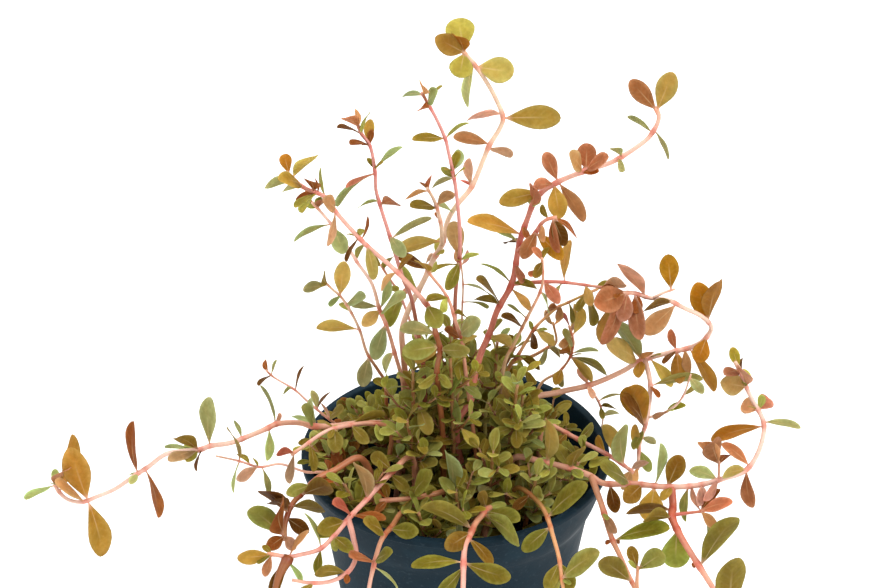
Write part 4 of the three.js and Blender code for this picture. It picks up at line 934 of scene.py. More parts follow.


# Small leaves are painted lighter than their tones, to make up for the shade among the dense low foliage
SMALL_LEAF = LeafForm(rows=(0.0, 0.08, 0.2, 0.36, 0.54, 0.72, 0.87, 0.96), stalk=0.12, thickness=0.12,
                      columns=(1.0, 0.85, 0.4, 0.0, -0.4, -0.85, -1.0), shade_lift=0.07)


def width_direction(view: View, base: Vec, tip: Vec, share: float, turn: int) -> Vec:
    """Finds the width direction that shows the given share of a leaf's width.

    Args:
        view: the view that shows the leaf.
        base, tip: the leaf's ends.
        share: the shown share of its width, up to one.
        turn: which way it turns from flat, 1 or -1.

    Returns:
        The unit direction, chosen so that the leaf's upper face looks up.
    """
    along = unit(tip - base)
    flat = unit(np.cross(along, unit(np.asarray(view.eye) - base)))
    deep = np.cross(along, flat)
    angle = math.acos(min(1.0, share)) * turn
    side = flat * math.cos(angle) + deep * math.sin(angle)
    return -side if np.cross(along, side)[2] < 0 else side


@dataclass(frozen=True)
class Plug:
    """The fibrous plug that fills the pot, domed on top and tangled with loose fibres."""

    seed: int = 41
    top: float = 40.0
    edge: float = 38.0
    collar: float = COLLAR_RADIUS
    foot_gap: float = 0.45
    # The radius and height of its foot and of its upper edge
    outline: tuple[Row, Row] = ((15.2, 1.75), (20.8, 37.4))
    underside_share: float = 0.5
    side_rings: int = 24
    dome_rings: int = 30
    dome_heart: float = 0.03
    rim_drop: float = 0.5
    rim_power: int = 8
    segments: int = 96
    # How rough it is, and the height from which it is
    roughness: float = 0.35
    rough_from: float = 30.0
    fibres: int = 420
    # The least and the most of each fibre's distance from the axis, two headings and length
    fibre_least: Row = (0.0, 0.0, 0.0, 3.0)
    fibre_most: Row = (20.0, 6.3, 6.3, 9.0)
    fibre_bends: int = 5
    fibre_limit: float = 20.5
    fibre_wander: float = 0.5
    fibre_hump: float = 0.5
    fibre_sink: float = 0.25
    fibre_radius: Row = (0.06, 0.16)
    fibre_spacing: float = 0.6
    fibre_sides: int = 5

    def top_at(self, radius: float) -> float:
        """The height of the domed top at a distance from the axis."""
        return self.top - (self.top - self.edge) * (radius / self.collar) ** 2

    def above(self, place: Sequence[float], rise: float) -> Vec:
        """The point at a place that lies a rise above the top."""
        return np.array((*place, self.top_at(math.hypot(*place)) + rise))

    def foot(self, place: Sequence[float]) -> Vec:
        """The point where the stem of a shoot starts at a place."""
        return self.above(place, self.foot_gap)

    def build(self, finish: bpy.types.Material) -> bpy.types.Object:
        """Builds and dresses the plug.

        Args:
            finish: the fibre material.

        Returns:
            The piece.
        """
        rng = np.random.default_rng(self.seed)
        mesh = MeshBin()
        (low_r, low_z), (edge_r, edge_z) = self.outline
        steps = np.linspace(0, 1, self.side_rings)
        side = [(low_r + (edge_r - low_r) * step, low_z + (edge_z - low_z) * step) for step in steps]
        inward = np.linspace(1, self.dome_heart, self.dome_rings)
        dome = [(edge_r * step, self.top_at(edge_r * step) - self.rim_drop * step**self.rim_power)
                for step in inward]
        profile = np.array([(self.underside_share * low_r, low_z), *side, *dome])
        rings = turned(profile, self.segments)
        shake = rng.normal(0, self.roughness / 2, rings.shape[:2])
        shake = (shake + np.roll(shake, 1, axis=1) + np.roll(shake, 1, axis=0)) / 2
        rings[1:-1, :, 2] -= np.abs(shake[1:-1]) * (profile[1:-1, 1:] > self.rough_from)
        mesh.add(np.vstack((rings.reshape(-1, 3), (0, 0, low_z), (0, 0, self.top))), len(profile))
        for _ in range(self.fibres):
            self._add_fibre(mesh, rng)
        return mesh.make("fibrous_plug", (finish,), "growing_medium")

    def _add_fibre(self, mesh: MeshBin, rng: np.random.Generator) -> None:
        """Lays one loose fibre on the plug's top.

        Args:
            mesh: the plug's bin.
            rng: the source of its place and bends.
        """
        radius, angle, turn, length = rng.uniform(self.fibre_least, self.fibre_most)
        spot = radius * level_direction(angle)[:2]
        last = self.fibre_bends - 1
        stride = level_direction(turn)[:2] * length / last
        line = []
        for step in range(self.fibre_bends):
            place = spot + stride * (step - last / 2) + rng.normal(0, self.fibre_wander, 2)
            place = place * min(1.0, self.fibre_limit / max(float(np.linalg.norm(place)), TINY))
            hump = self.fibre_hump * math.sin(math.pi * step / last)
            line.append(self.above(place, hump - self.fibre_sink))
        route = smooth_route(line, self.fibre_spacing)
        mesh.add(tube(route, rng.uniform(*self.fibre_radius), self.fibre_sides), len(route))


@dataclass(frozen=True)
class Pot:
    """The round plastic pot: a tapered body, a shoulder, a flared collar and a rolled lip."""

    height: float = 51.0
    rim: float = 26.0
    lip: float = 1.2
    overhang: float = 0.4
    collar: float = COLLAR_RADIUS
    collar_foot: float = 44.0
    shoulder: float = 22.9
    shoulder_foot: float = 42.0
    base: float = 16.5
    wall: float = 1.0
    floor: float = 1.4
    # A groove under the base: how far in from its edge, and how deep
    groove: tuple[Row, ...] = ((1.6, 0.0), (1.3, 0.45), (0.9, 0.0))
    # How far each corner of the profile is rounded, from the groove round the rim to the inner floor
    roundings: Row = (0.2, 0.2, 0.2, 0.7, 6.0, 3.0, 0.25, 0.35, 0.35, 0.35, 0.9, 0.6, 0.6)
    rounding_limit: float = 0.45
    rounding_shares: Row = (0.25, 0.5, 0.75, 1.0)
    heart_share: float = 0.4
    ring_spacing: float = 1.5
    segments: int = 160

    @property
    def inner_wall(self) -> tuple[Row, ...]:
        """The radius and height of the inner wall's corners, from the floor up."""
        mouth = self.rim - self.overhang - self.wall
        return ((self.base - self.wall, self.floor), (self.shoulder - self.wall, self.shoulder_foot),
                (self.collar - self.wall, self.collar_foot), (mouth, self.height))

    def _profile(self) -> Vec:
        """Rounds the profile's corners and adds even stations between them.

        Returns:
            Rows of radius and height, from the underside round the rim to the inner floor.
        """
        under_lip = self.height - self.lip
        corners = [np.array(corner) for corner in (
            *((self.base - inset, rise) for inset, rise in self.groove), (self.base, 0.0),
            (self.shoulder, self.shoulder_foot), (self.collar, self.collar_foot),
            (self.rim - self.overhang, under_lip), (self.rim, under_lip), (self.rim, self.height),
            *reversed(self.inner_wall))]
        spots = [np.array((self.heart_share * self.base, 0.0))]
        for before, here, after, rounding in zip(corners, corners[1:], corners[2:], self.roundings[1:]):
            leave, arrive = (here + gap * min(rounding / np.linalg.norm(gap), self.rounding_limit)
                             for gap in (before - here, after - here))
            spots.append(leave)
            spots.extend((1 - s) ** 2 * leave + 2 * s * (1 - s) * here + s * s * arrive
                         for s in self.rounding_shares)
        for radius in (self.base - self.wall - self.roundings[-1], self.heart_share * self.base):
            spots.append(np.array((radius, self.floor)))
        rows = [spots[0]]
        for a, b in zip(spots, spots[1:]):
            steps = max(1, int(np.linalg.norm(b - a) // self.ring_spacing))
            rows.extend(a + (b - a) * s / steps for s in range(1, steps + 1))
        return np.array(rows)

    def clears(self, points: Vec, gap: float) -> bool:
        """Tells whether points keep clear of the pot's wall, inside it or above its rim.

        Args:
            points: rows of points in millimetres.
            gap: the least distance that each keeps.

        Returns:
            True where all of them do.
        """
        radii, heights = zip(*self.inner_wall)
        wall = np.interp(points[:, 2], heights, radii)
        reach = np.hypot(points[:, 0], points[:, 1])
        return bool(np.all((points[:, 2] > self.height + gap) | (reach < wall - gap)))

    def build(self, finish: bpy.types.Material) -> bpy.types.Object:
        """Builds and dresses the pot.

        Args:
            finish: the plastic material.

        Returns:
            The piece.
        """
        profile = self._profile()
        rings = turned(profile, self.segments).reshape(-1, 3)
        mesh = MeshBin()
        mesh.add(np.vstack((rings, (0, 0, 0), (0, 0, self.floor))), len(profile))
        return mesh.make("plastic_pot", (finish,), "pot")


@dataclass(frozen=True)
class SideLeaf:
    """A leaf that stands off a stem: its form, its proportion and how it keeps off the pot."""

    form: LeafForm
    proportion: float
    pot: Pot | None = None
    lifts: Row = (0.0, 0.5, 1.0, 1.8)
    gap: float = 0.5
    sway: float = 0.25
    # Where its outline is tried against the pot's wall: shares of its length, and of its width there
    stations: Row = (0.3, 0.55, 0.8, 1.0)
    spans: Row = (0.3, 0.5, 0.45, 0.0)

    def add(self, mesh: MeshBin, base: Vec, travel: Vec, turn: float, rise: float, length: float, tone: Tone,
            rng: np.random.Generator) -> None:
        """Adds the leaf, lifted until it clears the pot's wall, or leaves it out where it can't.

        Args:
            mesh: the bin that takes it.
            base: where it sits.
            travel: the stem's direction there.
            turn: its heading round the stem.
            rise: how much it leans along the stem.
            length: its length in millimetres.
            tone: its colour.
            rng: the source of its small differences.
        """
        level = level_direction(turn)
        out = level - travel * (level @ travel)
        out = unit(unit(out + TINY * UP) + rise * travel)
        side = unit(np.cross(UP, out) + rng.normal(0, self.sway, 3))
        side = unit(side - out * (side @ out))
        if np.cross(out, side)[2] < 0:
            side = -side
        width = length * self.proportion
        for lift in self.lifts:
            raised = unit(out + lift * UP)
            side = unit(side - raised * (side @ raised))
            spine = base + np.outer(self.stations, raised * length)
            edges = np.outer(self.spans, side * width)
            if self.pot is None or self.pot.clears(np.vstack((spine + edges, spine - edges)), self.gap):
                self.form.add(mesh, base, base + raised * length, width, side, tone, rng)
                return


@dataclass(frozen=True)
class LongShoots:
    """The long shoots, grown from the table of their routes."""

    view: View
    habit: Habit
    leaf: LeafForm
    small: LeafForm
    plug: Plug
    first_seed: int = 100
    small_limit: float = 4.2
    # Pairs of tiny new leaves: how many joints have one, their lengths, proportion, lean and tones
    bud_share: float = 0.12
    bud_length: Row = (1.8, 3.6)
    bud_proportion: float = 0.5
    bud_rise: float = 0.9
    bud_tones: tuple[Tone, ...] = (RUST, GREEN, OLIVE, SAGE, GREEN)

    def build(self, plan: Shoot, index: int, finishes: Sequence[bpy.types.Material]) -> bpy.types.Object:
        """Builds and dresses one shoot.

        Args:
            plan: its row of the table.
            index: its place in the table.
            finishes: the stem and leaf materials.

        Returns:
            The piece.
        """
        rng = np.random.default_rng(self.first_seed + index)
        mesh = MeshBin()
        grown, runs = np.empty((0, 3)), np.empty(0)
        for stem in plan.stems:
            points = [self.view.seen(*spot) for spot in stem.route]
            start = 0.0
            if len(grown):
                fork = self.view.nearest(grown, *stem.route[0][:2])
                points[0], start = grown[fork], float(runs[fork])
            else:
                points.insert(0, self.plug.foot(plan.foot))
            line = smooth_route(points, self.habit.spacing)
            grown, runs = np.vstack((grown, line)), np.append(runs, start + run_along(line))
            joints = [self._add_leaf(mesh, line, row, place, rng) for place, row in enumerate(stem.leaves)]
            self.habit.add_stem(mesh, line, stem.girth, joints, stem.skin or plan.skin, start)
            self._add_buds(mesh, line, sorted(set(joints)), rng)
        return mesh.make(plan.name.replace("_shoot", "_sprig"), finishes, plan.name)

    def _add_leaf(self, mesh: MeshBin, line: Vec, row: tuple, place: int, rng: np.random.Generator) -> int:
        """Adds a leaf of the table.

        Args:
            mesh: the shoot's bin.
            line: the points along its stem.
            row: the leaf's row.
            place: its place in the stem's list.
            rng: the source of its small differences.

        Returns:
            The index of the stem's point where it sits.
        """
        base_across, base_down, tip_across, tip_down, width, lean, tone = row
        joint = min(self.view.nearest(line, base_across, base_down), len(line) - 2)
        base = line[joint]
        tip = self.view.seen(tip_across, tip_down, base[1] + lean)
        length = float(np.linalg.norm(tip - base))
        shown = width * self.view.places(base)[0, 2] / self.view.reach
        full = max(shown, self.leaf.proportion * length)
        side = width_direction(self.view, base, tip, shown / full, 1 if place % 2 else -1)
        form = self.small if length < self.small_limit else self.leaf
        form.add(mesh, base, tip, full, side, tone, rng)
        return joint

    def _add_buds(self, mesh: MeshBin, line: Vec, joints: Sequence[int], rng: np.random.Generator) -> None:
        """Adds pairs of tiny new leaves at some of the joints.

        Args:
            mesh: the shoot's bin.
            line: the points along its stem.
            joints: the indices of the points where leaves sit.
            rng: the source of the choice.
        """
        travel = unit(np.gradient(line, axis=0))
        bud = SideLeaf(self.small, self.bud_proportion)
        for joint in joints:
            if rng.uniform() > self.bud_share:
                continue
            turn = rng.uniform(0, 2 * math.pi)
            tone = rng.choice(self.bud_tones)
            for flip in (0.0, math.pi):
                bud.add(mesh, line[joint], travel[joint], turn + flip, self.bud_rise,
                        rng.uniform(*self.bud_length), tone, rng)


@dataclass(frozen=True)
class LowShoots:
    """The low shoots that fill the pot's mouth: short branched stems with crossed pairs of round leaves."""

    habit: Habit
    leaf: LeafForm
    plug: Plug
    pot: Pot
    first_seed: int = 900
    bend: float = 0.12
    girth: float = 0.85
    turn_step: float = 0.7
    # Leaves: the height of the lowest, the gap between pairs, and what they have at the foot and the top
    first_leaf: float = 41.5
    joint_gap: float = 2.0
    lengths: Row = (7.2, 4.0)
    length_sway: Row = (0.8, 1.15)
    rise: Row = (0.15, 0.9)
    proportion: float = 0.52
    heading_sway: float = 0.25
    # Twigs: how many, where along the stem, how far each turns from the last, how they rise and end
    twigs: int = 5
    twig_span: Row = (0.45, 0.4)
    twig_turn: float = 2.4
    twig_sway: float = 0.4
    twig_lean: Row = (0.5, 1.3)
    twig_length: Row = (4.0, 7.0)
    twig_middle: float = 0.5
    twig_end: Row = (0.95, 0.18)
    twig_girth_share: float = 0.6
    twig_leaves: Row = (5.2, 3.2)
    left_edge: float = -11.0
    tones: tuple[tuple[Tone, float], ...] = (
        (GREEN, 0.32), (MOSS, 0.24), (FERN, 0.14), (OLIVE, 0.16), (SAGE, 0.05), (LIME, 0.09))
    left_tones: tuple[tuple[Tone, float], ...] = (
        (GREEN, 0.32), (MOSS, 0.22), (FERN, 0.1), (OLIVE, 0.24), (RUST, 0.06), (BROWN, 0.06))

    def build(self, plan: LowShoot, index: int, finishes: Sequence[bpy.types.Material]) -> bpy.types.Object:
        """Builds and dresses one low shoot.

        Args:
            plan: its row of the table.
            index: its place in the table.
            finishes: the stem and leaf materials.

        Returns:
            The piece.
        """
        rng = np.random.default_rng(self.first_seed + index)
        mesh = MeshBin()
        foot = self.plug.foot(plan.foot)
        top = np.array((*plan.top, self.pot.height + plan.rise))
        middle = (foot + top) / 2 + (0, 0, self.bend * plan.rise)
        line = smooth_route((foot, middle, top), self.habit.spacing)
        palette = self.left_tones if plan.top[0] < self.left_edge else self.tones
        first_turn = self.turn_step * index
        self._leafy_stem(mesh, line, self.girth, first_turn, self.lengths, palette, rng)
        travel = unit(top - foot)
        lowest, spread = self.twig_span
        along, upward = self.twig_end
        for twig in range(self.twigs):
            start = line[int((lowest + spread * twig / self.twigs) * (len(line) - 1))]
            turn = first_turn + twig * self.twig_turn + rng.uniform(-self.twig_sway, self.twig_sway)
            out = unit(level_direction(turn) + travel * rng.uniform(*self.twig_lean))
            reach = rng.uniform(*self.twig_length)
            ends = (start, start + out * reach * self.twig_middle,
                    start + out * reach * along + UP * reach * upward)
            route = smooth_route(ends, self.habit.spacing)
            if self.pot.clears(route, self.girth):
                girth = self.girth * self.twig_girth_share
                self._leafy_stem(mesh, route, girth, turn, self.twig_leaves, palette, rng)
        number = f"{index + 1:02d}"
        return mesh.make(f"low_sprig_{number}", finishes, f"low_shoot_{number}")

    def _leafy_stem(self, mesh: MeshBin, line: Vec, girth: float, turn: float, lengths: Row,
                    palette: Sequence[tuple[Tone, float]], rng: np.random.Generator) -> None:
        """Adds a stem with crossed pairs of leaves up to its top.

        Args:
            mesh: the piece's bin.
            line: the points along the stem.
            girth: its thickness.
            turn: the heading of its first pair.
            lengths: leaf lengths at its foot and at its top.
            palette: the tones to draw from, with their shares.
            rng: the source of its small differences.
        """
        tones, shares = [entry[0] for entry in palette], np.array([entry[1] for entry in palette])
        travel = unit(np.gradient(line, axis=0))
        leaf = SideLeaf(self.leaf, self.proportion, self.pot)
        step = max(2, round(self.joint_gap / float(np.linalg.norm(line[1] - line[0]))))
        joints = [joint for joint in range(len(line) - 1, 1, -step) if line[joint][2] > self.first_leaf]
        for order, joint in enumerate(joints):
            near = joint / (len(line) - 1)
            length, rise = (low + (high - low) * near for low, high in (lengths, self.rise))
            for flip in (0.0, math.pi):
                tone = tones[int(rng.choice(len(tones), p=shares / shares.sum()))]
                toward = turn + order * math.pi / 2 + flip + rng.normal(0, self.heading_sway)
                leaf.add(mesh, line[joint], travel[joint], toward, rise,
                         length * rng.uniform(*self.length_sway), tone, rng)
        self.habit.add_stem(mesh, line, girth, joints, Skin.MUTED)


class Bench:
    """Lays out the nodes of one tree with short calls."""

    def __init__(self, tree: bpy.types.NodeTree) -> None:
        """Takes the tree to work on."""
        self.tree = tree

    def node(self, kind: str, inputs: dict | None = None, **settings: object) -> bpy.types.Node:
        """Adds a node.

        Args:
            kind: the node's type, without the word ShaderNode in front of it.
            inputs: input name or number to a value, or to the socket that feeds it.
            **settings: the node's own settings.

        Returns:
            The node.
        """
        node = self.tree.nodes.new(kind if kind.startswith("NodeGroup") else "ShaderNode" + kind)
        for name, value in settings.items():
            setattr(node, name, value)
        for name, value in (inputs or {}).items():
            if isinstance(value, Socket):
                self.tree.links.new(value, node.inputs[name])
            else:
                node.inputs[name].default_value = value
        return node

    def math(self, operation: str, *terms: object, clamp: bool = False) -> Socket:
        """Adds a Math node and returns its value."""
        return self.node("Math", dict(enumerate(terms)), operation=operation, use_clamp=clamp).outputs[0]

    def times(self, *terms: object) -> Socket:
        """Multiplies two values."""
        return self.math("MULTIPLY", *terms)

    def less(self, *terms: object) -> Socket:
        """Takes the second value from the first."""
        return self.math("SUBTRACT", *terms)

    def rise(self, value: object, low: float, high: float) -> Socket:
        """Adds a smooth step from nought below low to one above high."""
        inputs = {"Value": value, "From Min": low, "From Max": high}
        return self.node("MapRange", inputs, interpolation_type="SMOOTHSTEP").outputs["Result"]

    def fall(self, value: object, low: float, high: float) -> Socket:
        """Adds a smooth step from one below low to nought above high."""
        return self.less(1.0, self.rise(value, low, high))

    def mix(self, share: object, first: object, second: object, blend_type: str = "MIX") -> Socket:
        """Mixes two colours by a share."""
        inputs = {0: share, 6: first, 7: second}
        return self.node("Mix", inputs, data_type="RGBA", blend_type=blend_type).outputs[2]

    def own_space(self) -> Socket:
        """The place in the object's own space."""
        return self.node("TexCoord").outputs["Object"]

    def noise(self, place: Socket, scale: Socket, detail: float) -> Socket:
        """Adds noise."""
        return self.node("TexNoise", {"Vector": place, "Scale": scale, "Detail": detail}).outputs["Fac"]

    def colour(self, name: str) -> Socket:
        """Reads a colour attribute of the mesh."""
        return self.node("Attribute", attribute_name=name).outputs["Color"]

    def combine(self, *channels: Socket) -> Socket:
        """Makes a colour of three channels."""
        return self.node("CombineColor", dict(enumerate(channels))).outputs[0]

    def bump(self, height: Socket, strength: float, distance: float) -> Socket:
        """Turns a height into a normal."""
        inputs = {"Height": height, "Strength": strength, "Distance": distance}
        return self.node("Bump", inputs).outputs[0]

    def shine_through(self, surface: bpy.types.Node, colour: Socket, share: float) -> bpy.types.Node:
        """Mixes a surface with light that comes through it, by a share."""
        glow = self.node("BsdfTranslucent", {"Color": colour})
        return self.node("MixShader", {0: share, 1: surface.outputs[0], 2: glow.outputs[0]})

    def close(self, surface: bpy.types.Node) -> None:
        """Gives the material its surface."""
        self.node("OutputMaterial", {"Surface": surface.outputs[0]})


def new_group(name: str, inputs: dict[str, float],
              output: str) -> tuple[bpy.types.NodeTree, Bench, bpy.types.bpy_prop_collection]:
    """Starts a node group with float inputs and one float output.

    Args:
        name: the group's name.
        inputs: input names with their usual values.
        output: the output's name.

    Returns:
        The group, its bench and what it is given.
    """
    tree = bpy.data.node_groups.new(name, "ShaderNodeTree")
    for label, usual in inputs.items():
        socket = tree.interface.new_socket(name=label, in_out="INPUT", socket_type="NodeSocketFloat")
        socket.default_value = usual
    tree.interface.new_socket(name=output, in_out="OUTPUT", socket_type="NodeSocketFloat")
    bench = Bench(tree)
    return tree, bench, bench.node("NodeGroupInput").outputs


@dataclass(frozen=True)
class Mottling:
    """Soft mottling: broad patches broken up by finer ones, as a mask from nought to one."""

    fineness: float = 4.3
    broad_share: float = 0.6
    fine_share: float = 0.4
    broad_detail: float = 3.0
    fine_detail: float = 2.0
    spread: float = 2.6

    def build(self) -> bpy.types.NodeTree:
        """Builds the group.

        Returns:
            The group.
        """
        tree, bench, given = new_group("Mottling", {"Scale": 300.0, "Contrast": 1.0}, "Mask")
        place = bench.own_space()
        broad = bench.noise(place, given["Scale"], self.broad_detail)
        fine = bench.noise(place, bench.times(given["Scale"], self.fineness), self.fine_detail)
        both = bench.math("MULTIPLY_ADD", fine, self.fine_share, bench.times(broad, self.broad_share))
        spread = bench.times(bench.less(both, 0.5), bench.times(given["Contrast"], self.spread))
        bench.node("NodeGroupOutput", {"Mask": bench.math("ADD", spread, 0.5, clamp=True)})
        return tree


@dataclass(frozen=True)
class Grain:
    """The fine grain of a surface, as a height for a bump."""

    detail: float = 2.0

    def build(self) -> bpy.types.NodeTree:
        """Builds the group.

        Returns:
            The group.
        """
        tree, bench, given = new_group("Grain", {"Scale": 3000.0, "Depth": 0.5}, "Height")
        grain = bench.noise(bench.own_space(), given["Scale"], self.detail)
        bench.node("NodeGroupOutput", {"Height": bench.times(grain, given["Depth"])})
        return tree


@dataclass(frozen=True)
class Effects:
    """The shader groups that several materials share."""

    mottling: bpy.types.NodeTree
    grain: bpy.types.NodeTree

    def mottle(self, bench: Bench, scale: float, contrast: float) -> Socket:
        """Places the mottling in a material and returns its mask."""
        return bench.node("Group", {"Scale": scale, "Contrast": contrast}, node_tree=self.mottling).outputs[0]

    def height(self, bench: Bench, scale: float, depth: float) -> Socket:
        """Places the grain in a material and returns its height."""
        return bench.node("Group", {"Scale": scale, "Depth": depth}, node_tree=self.grain).outputs[0]


def new_material(name: str) -> tuple[bpy.types.Material, Bench]:
    """Starts an empty node material.

    Args:
        name: its name.

    Returns:
        The material and its bench.
    """
    material = bpy.data.materials.new(name)
    material.use_nodes = True
    material.node_tree.nodes.clear()
    return material, Bench(material.node_tree)


def opaque(colour: Row) -> tuple[float, ...]:
    """A displayed colour as a shader's linear colour."""
    return (*linear(colour), 1.0)


@dataclass(frozen=True)
class LeafFinish:
    """A living leaf: paler at its margin, with a light midrib, faint veins and light shining through."""

    rib: Row = (0.88, 0.79, 0.60)
    stalk: Row = (0.90, 0.74, 0.64)
    under: Row = (0.74, 0.58, 0.40)
    blush: Row = (1.0, 0.86, 0.72)
    blush_share: float = 0.5
    rib_share: float = 0.5
    vein_share: float = 0.08
    vein_lines: float = 44.0
    vein_slant: float = 9.0
    vein_sharpness: float = 6.0
    under_share: float = 0.08
    margin_share: float = 0.8
    margin_spots: float = 0.7
    # Where each mark starts and ends, over half the width or along the length
    margin_across: Row = (0.5, 1.0)
    margin_along: Row = (0.8, 1.0)
    blush_across: Row = (0.35, 0.95)
    rib_across: Row = (0.02, 0.11)
    rib_along: Row = (0.2, 0.85)
    stalk_along: Row = (0.02, 0.2)
    under_step: Row = (0.0, 0.2)
    # The scale and contrast of its mottling and of its flush, and its relief's strength and depth
    mottling: Row = (420.0, 1.2)
    flush: Row = (130.0, 1.8)
    relief: Row = (0.25, 0.0002)
    # How light the mottling leaves its darkest parts, and how much lighter the others are
    shading: Row = (0.88, 0.26)
    glow_share: float = 0.5
    glow_lift: float = 1.18
    glow_saturation: float = 0.94
    roughness: float = 0.42
    roughness_sway: float = 0.16
    specular: float = 0.07

    def build(self, effects: Effects) -> bpy.types.Material:
        """Builds the material.

        Args:
            effects: the shared shader groups.

        Returns:
            The material.
        """
        material, bench = new_material("living_leaf")
        place = bench.node("Attribute", attribute_name="place").outputs["Vector"]
        along, side, face = bench.node("SeparateXYZ", {0: place}).outputs
        across = bench.math("ABSOLUTE", side)
        mottle = effects.mottle(bench, *self.mottling)
        rim, end = bench.rise(across, *self.margin_across), bench.rise(along, *self.margin_along)
        edge = bench.math("MAXIMUM", rim, end)
        spots = bench.times(bench.less(mottle, 0.5), self.margin_spots)
        pale = bench.math("MULTIPLY_ADD", edge, self.margin_share, spots, clamp=True)
        colour = bench.mix(pale, bench.colour("tone"), bench.colour("margin"))
        flush = bench.times(effects.mottle(bench, *self.flush), bench.fall(across, *self.blush_across))
        colour = bench.mix(bench.times(flush, self.blush_share), colour, opaque(self.blush), "MULTIPLY")
        darkest, lighter = self.shading
        shade = bench.math("MULTIPLY_ADD", mottle, lighter, darkest)
        colour = bench.mix(1.0, colour, bench.combine(shade, shade, shade), "MULTIPLY")
        rib = bench.times(bench.fall(across, *self.rib_across), bench.fall(along, *self.rib_along))
        slant = bench.less(bench.times(along, self.vein_lines), bench.times(across, self.vein_slant))
        stripes = bench.math("MULTIPLY_ADD", bench.math("SINE", slant), 0.5, 0.5)
        veins = bench.times(bench.math("POWER", stripes, self.vein_sharpness), self.vein_share)
        marks = bench.math("MAXIMUM", rib, veins)
        colour = bench.mix(bench.times(marks, self.rib_share), colour, opaque(self.rib))
        colour = bench.mix(bench.fall(along, *self.stalk_along), colour, opaque(self.stalk))
        below = bench.rise(bench.times(face, -1.0), *self.under_step)
        below = bench.times(below, self.under_share)
        colour = bench.mix(below, colour, opaque(self.under))
        normal = bench.bump(bench.less(bench.times(mottle, 0.5), marks), *self.relief)
        gloss = bench.math("MULTIPLY_ADD", mottle, self.roughness_sway, self.roughness)
        surface = bench.node("BsdfPrincipled", {
            "Base Color": colour, "Roughness": gloss, "Specular IOR Level": self.specular, "Normal": normal})
        lit = bench.node("HueSaturation", {
            "Saturation": self.glow_saturation, "Value": self.glow_lift, "Color": colour}).outputs[0]
        bench.close(bench.shine_through(surface, lit, self.glow_share))
        return material


@dataclass(frozen=True)
class StemFinish:
    """A fleshy stem: its own colour from foot to tip, streaked, with a soft wet sheen."""

    mottling: Row = (650.0, 1.1)
    grain: Row = (2600.0, 0.6)
    relief: Row = (0.2, 0.0002)
    shading: Row = (0.84, 0.3)
    red_kept: float = 0.97
    roughness: float = 0.36
    roughness_sway: float = 0.14
    glow_share: float = 0.14

    def build(self, effects: Effects) -> bpy.types.Material:
        """Builds the material.

        Args:
            effects: the shared shader groups.

        Returns:
            The material.
        """
        material, bench = new_material("fleshy_stem")
        mottle = effects.mottle(bench, *self.mottling)
        darkest, lighter = self.shading
        shade = bench.math("MULTIPLY_ADD", mottle, lighter, darkest)
        warm = bench.combine(bench.math("MAXIMUM", shade, self.red_kept), shade, shade)
        colour = bench.mix(1.0, bench.colour("tone"), warm, "MULTIPLY")
        normal = bench.bump(effects.height(bench, *self.grain), *self.relief)
        gloss = bench.math("MULTIPLY_ADD", mottle, self.roughness_sway, self.roughness)
        surface = bench.node("BsdfPrincipled", {"Base Color": colour, "Roughness": gloss, "Normal": normal})
        bench.close(bench.shine_through(surface, colour, self.glow_share))
        return material


@dataclass(frozen=True)
class PlasticFinish:
    """Moulded plastic: dark slate blue, satin, with faint scuffs and a dusting of pale residue."""

    body: Row = (0.072, 0.135, 0.172)
    worn: Row = (0.145, 0.222, 0.262)
    dust: Row = (0.50, 0.56, 0.60)
    worn_share: float = 0.3
    dust_share: float = 0.05
    # The mottling at which wear starts and is full, and the same of the dust's grain
    worn_step: Row = (0.3, 0.95)
    dust_step: Row = (0.58, 0.74)
    mottling: Row = (90.0, 1.2)
    dust_grain: Row = (1500.0, 1.0)
    grain: Row = (1800.0, 0.5)
    relief: Row = (0.12, 0.0003)
    roughness: float = 0.47
    roughness_sway: float = 0.2
    specular: float = 0.05

    def build(self, effects: Effects) -> bpy.types.Material:
        """Builds the material.

        Args:
            effects: the shared shader groups.

        Returns:
            The material.
        """
        material, bench = new_material("slate_blue_plastic")
        mottle = effects.mottle(bench, *self.mottling)
        film = bench.times(bench.rise(mottle, *self.worn_step), self.worn_share)
        colour = bench.mix(film, opaque(self.body), opaque(self.worn))
        specks = bench.rise(effects.height(bench, *self.dust_grain), *self.dust_step)
        colour = bench.mix(bench.times(specks, self.dust_share), colour, opaque(self.dust))
        normal = bench.bump(effects.height(bench, *self.grain), *self.relief)
        gloss = bench.math("MULTIPLY_ADD", mottle, self.roughness_sway, self.roughness)
        surface = bench.node("BsdfPrincipled", {
            "Base Color": colour, "Roughness": gloss, "Specular IOR Level": self.specular, "Normal": normal})
        bench.close(surface)
        return material


@dataclass(frozen=True)
class FibreFinish:
    """Damp matted fibre, mottled at random from brown to near black."""

    dark: Row = (0.09, 0.075, 0.06)
    light: Row = (0.30, 0.22, 0.14)
    dark_patch_step: Row = (0.3, 1.0)
    mottling: Row = (520.0, 1.6)
    grain: Row = (1500.0, 1.0)
    relief: Row = (0.8, 0.0006)
    roughness: float = 0.85

    def build(self, effects: Effects) -> bpy.types.Material:
        """Builds the material.

        Args:
            effects: the shared shader groups.

        Returns:
            The material.
        """
        material, bench = new_material("damp_fibre")
        # Near black where the random mottling is low, not where the plug's surface dips
        share = bench.rise(effects.mottle(bench, *self.mottling), *self.dark_patch_step)
        colour = bench.mix(share, opaque(self.dark), opaque(self.light))
        normal = bench.bump(effects.height(bench, *self.grain), *self.relief)
        surface = {"Base Color": colour, "Roughness": self.roughness, "Normal": normal}
        bench.close(bench.node("BsdfPrincipled", surface))
        return material


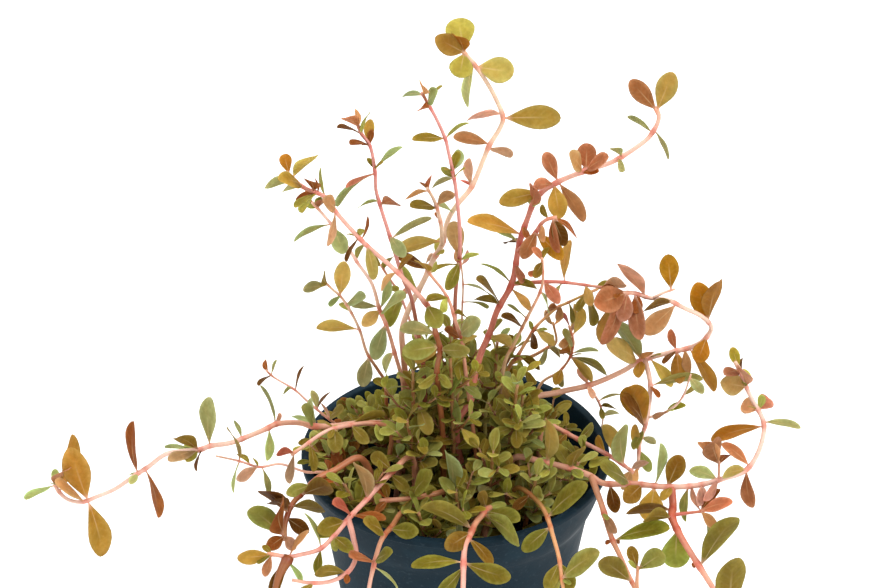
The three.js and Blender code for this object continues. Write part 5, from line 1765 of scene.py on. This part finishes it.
@dataclass(frozen=True)
class Studio:
    """The pale floor, the soft lights and the camera, in metres."""

    view: View
    sensor: float = 36.0
    nearest: float = 0.01
    floor_reach: float = 6.0
    floor_colour: Row = (0.97, 0.97, 0.965)
    world_strength: float = 1.16
    # Each light's name, place, size and power, and the point that they look at
    lights: tuple[tuple[str, Row, float, float], ...] = (
        ("window_light", (0.55, -0.25, 0.75), 0.5, 5.5),
        ("top_light", (-0.35, 0.1, 0.9), 0.6, 4.5),
    )
    aim: Row = (0.0, 0.0, 0.07)

    def build(self) -> None:
        """Sets up the floor, the lights, the world, the camera and the plain view transform."""
        scene = bpy.context.scene
        scene.view_settings.view_transform = "Standard"
        self._floor()
        world = bpy.data.worlds.new("soft_white")
        world.use_nodes = True
        background = world.node_tree.nodes["Background"]
        background.inputs["Color"].default_value = (1.0, 1.0, 1.0, 1.0)
        background.inputs["Strength"].default_value = self.world_strength
        scene.world = world
        for name, spot, size, power in self.lights:
            self._light(name, spot, size, power)
        scene.camera = self._camera()

    def _floor(self) -> None:
        """Lays the plain pale floor."""
        reach = self.floor_reach
        mesh = bpy.data.meshes.new("floor")
        corners = [(-reach, -reach, 0), (reach, -reach, 0), (reach, reach, 0), (-reach, reach, 0)]
        mesh.from_pydata(corners, [], [(0, 1, 2, 3)])
        material, bench = new_material("pale_floor")
        bench.close(bench.node("BsdfDiffuse", {"Color": opaque(self.floor_colour)}))
        mesh.materials.append(material)
        floor = place_object("floor", mesh)

    def _light(self, name: str, spot: Row, size: float, power: float) -> None:
        """Hangs a square soft light that looks at the plant.

        Args:
            name: its name.
            spot: where it hangs.
            size: the length of its side.
            power: its power in watts.
        """
        lamp = bpy.data.lights.new(name, "AREA")
        lamp.size = size
        lamp.energy = power
        light = place_object(name, lamp)
        light.location = spot
        away = np.asarray(spot) - self.aim
        light.rotation_euler = (math.acos(away[2] / np.linalg.norm(away)), 0.0, math.atan2(away[0], -away[1]))

    def _camera(self) -> bpy.types.Object:
        """Sets the camera to the view of the table.

        Returns:
            The camera.
        """
        lens = bpy.data.cameras.new("camera")
        lens.sensor_width = self.sensor
        lens.lens = self.view.reach / self.view.width * self.sensor
        lens.clip_start = self.nearest
        camera = place_object("camera", lens)
        camera.location = [value * MM for value in self.view.eye]
        camera.rotation_euler = (math.radians(90 - self.view.tilt_deg), 0.0, 0.0)
        return camera


def main() -> None:
    """Builds every piece in order."""
    logging.basicConfig(level=logging.INFO, format="%(message)s")
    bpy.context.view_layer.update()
    view = View()
    Studio(view).build()
    effects = Effects(Mottling().build(), Grain().build())
    habit, pot, plug = Habit(), Pot(), Plug()
    finishes = (StemFinish().build(effects), LeafFinish().build(effects))
    LOG.info("pot: %s", pot.build(PlasticFinish().build(effects)).name)
    LOG.info("plug: %s", plug.build(FibreFinish().build(effects)).name)
    growers = ((SHOOTS, LongShoots(view, habit, LeafForm(), SMALL_LEAF, plug)),
               (LOW_SHOOTS, LowShoots(habit, SMALL_LEAF, plug, pot)))
    for plans, grower in growers:
        for index, plan in enumerate(plans):
            piece = grower.build(plan, index, finishes)
            LOG.info("shoot: %s, %d faces", piece.name, len(piece.data.polygons))


if __name__ == "__main__":
    main()
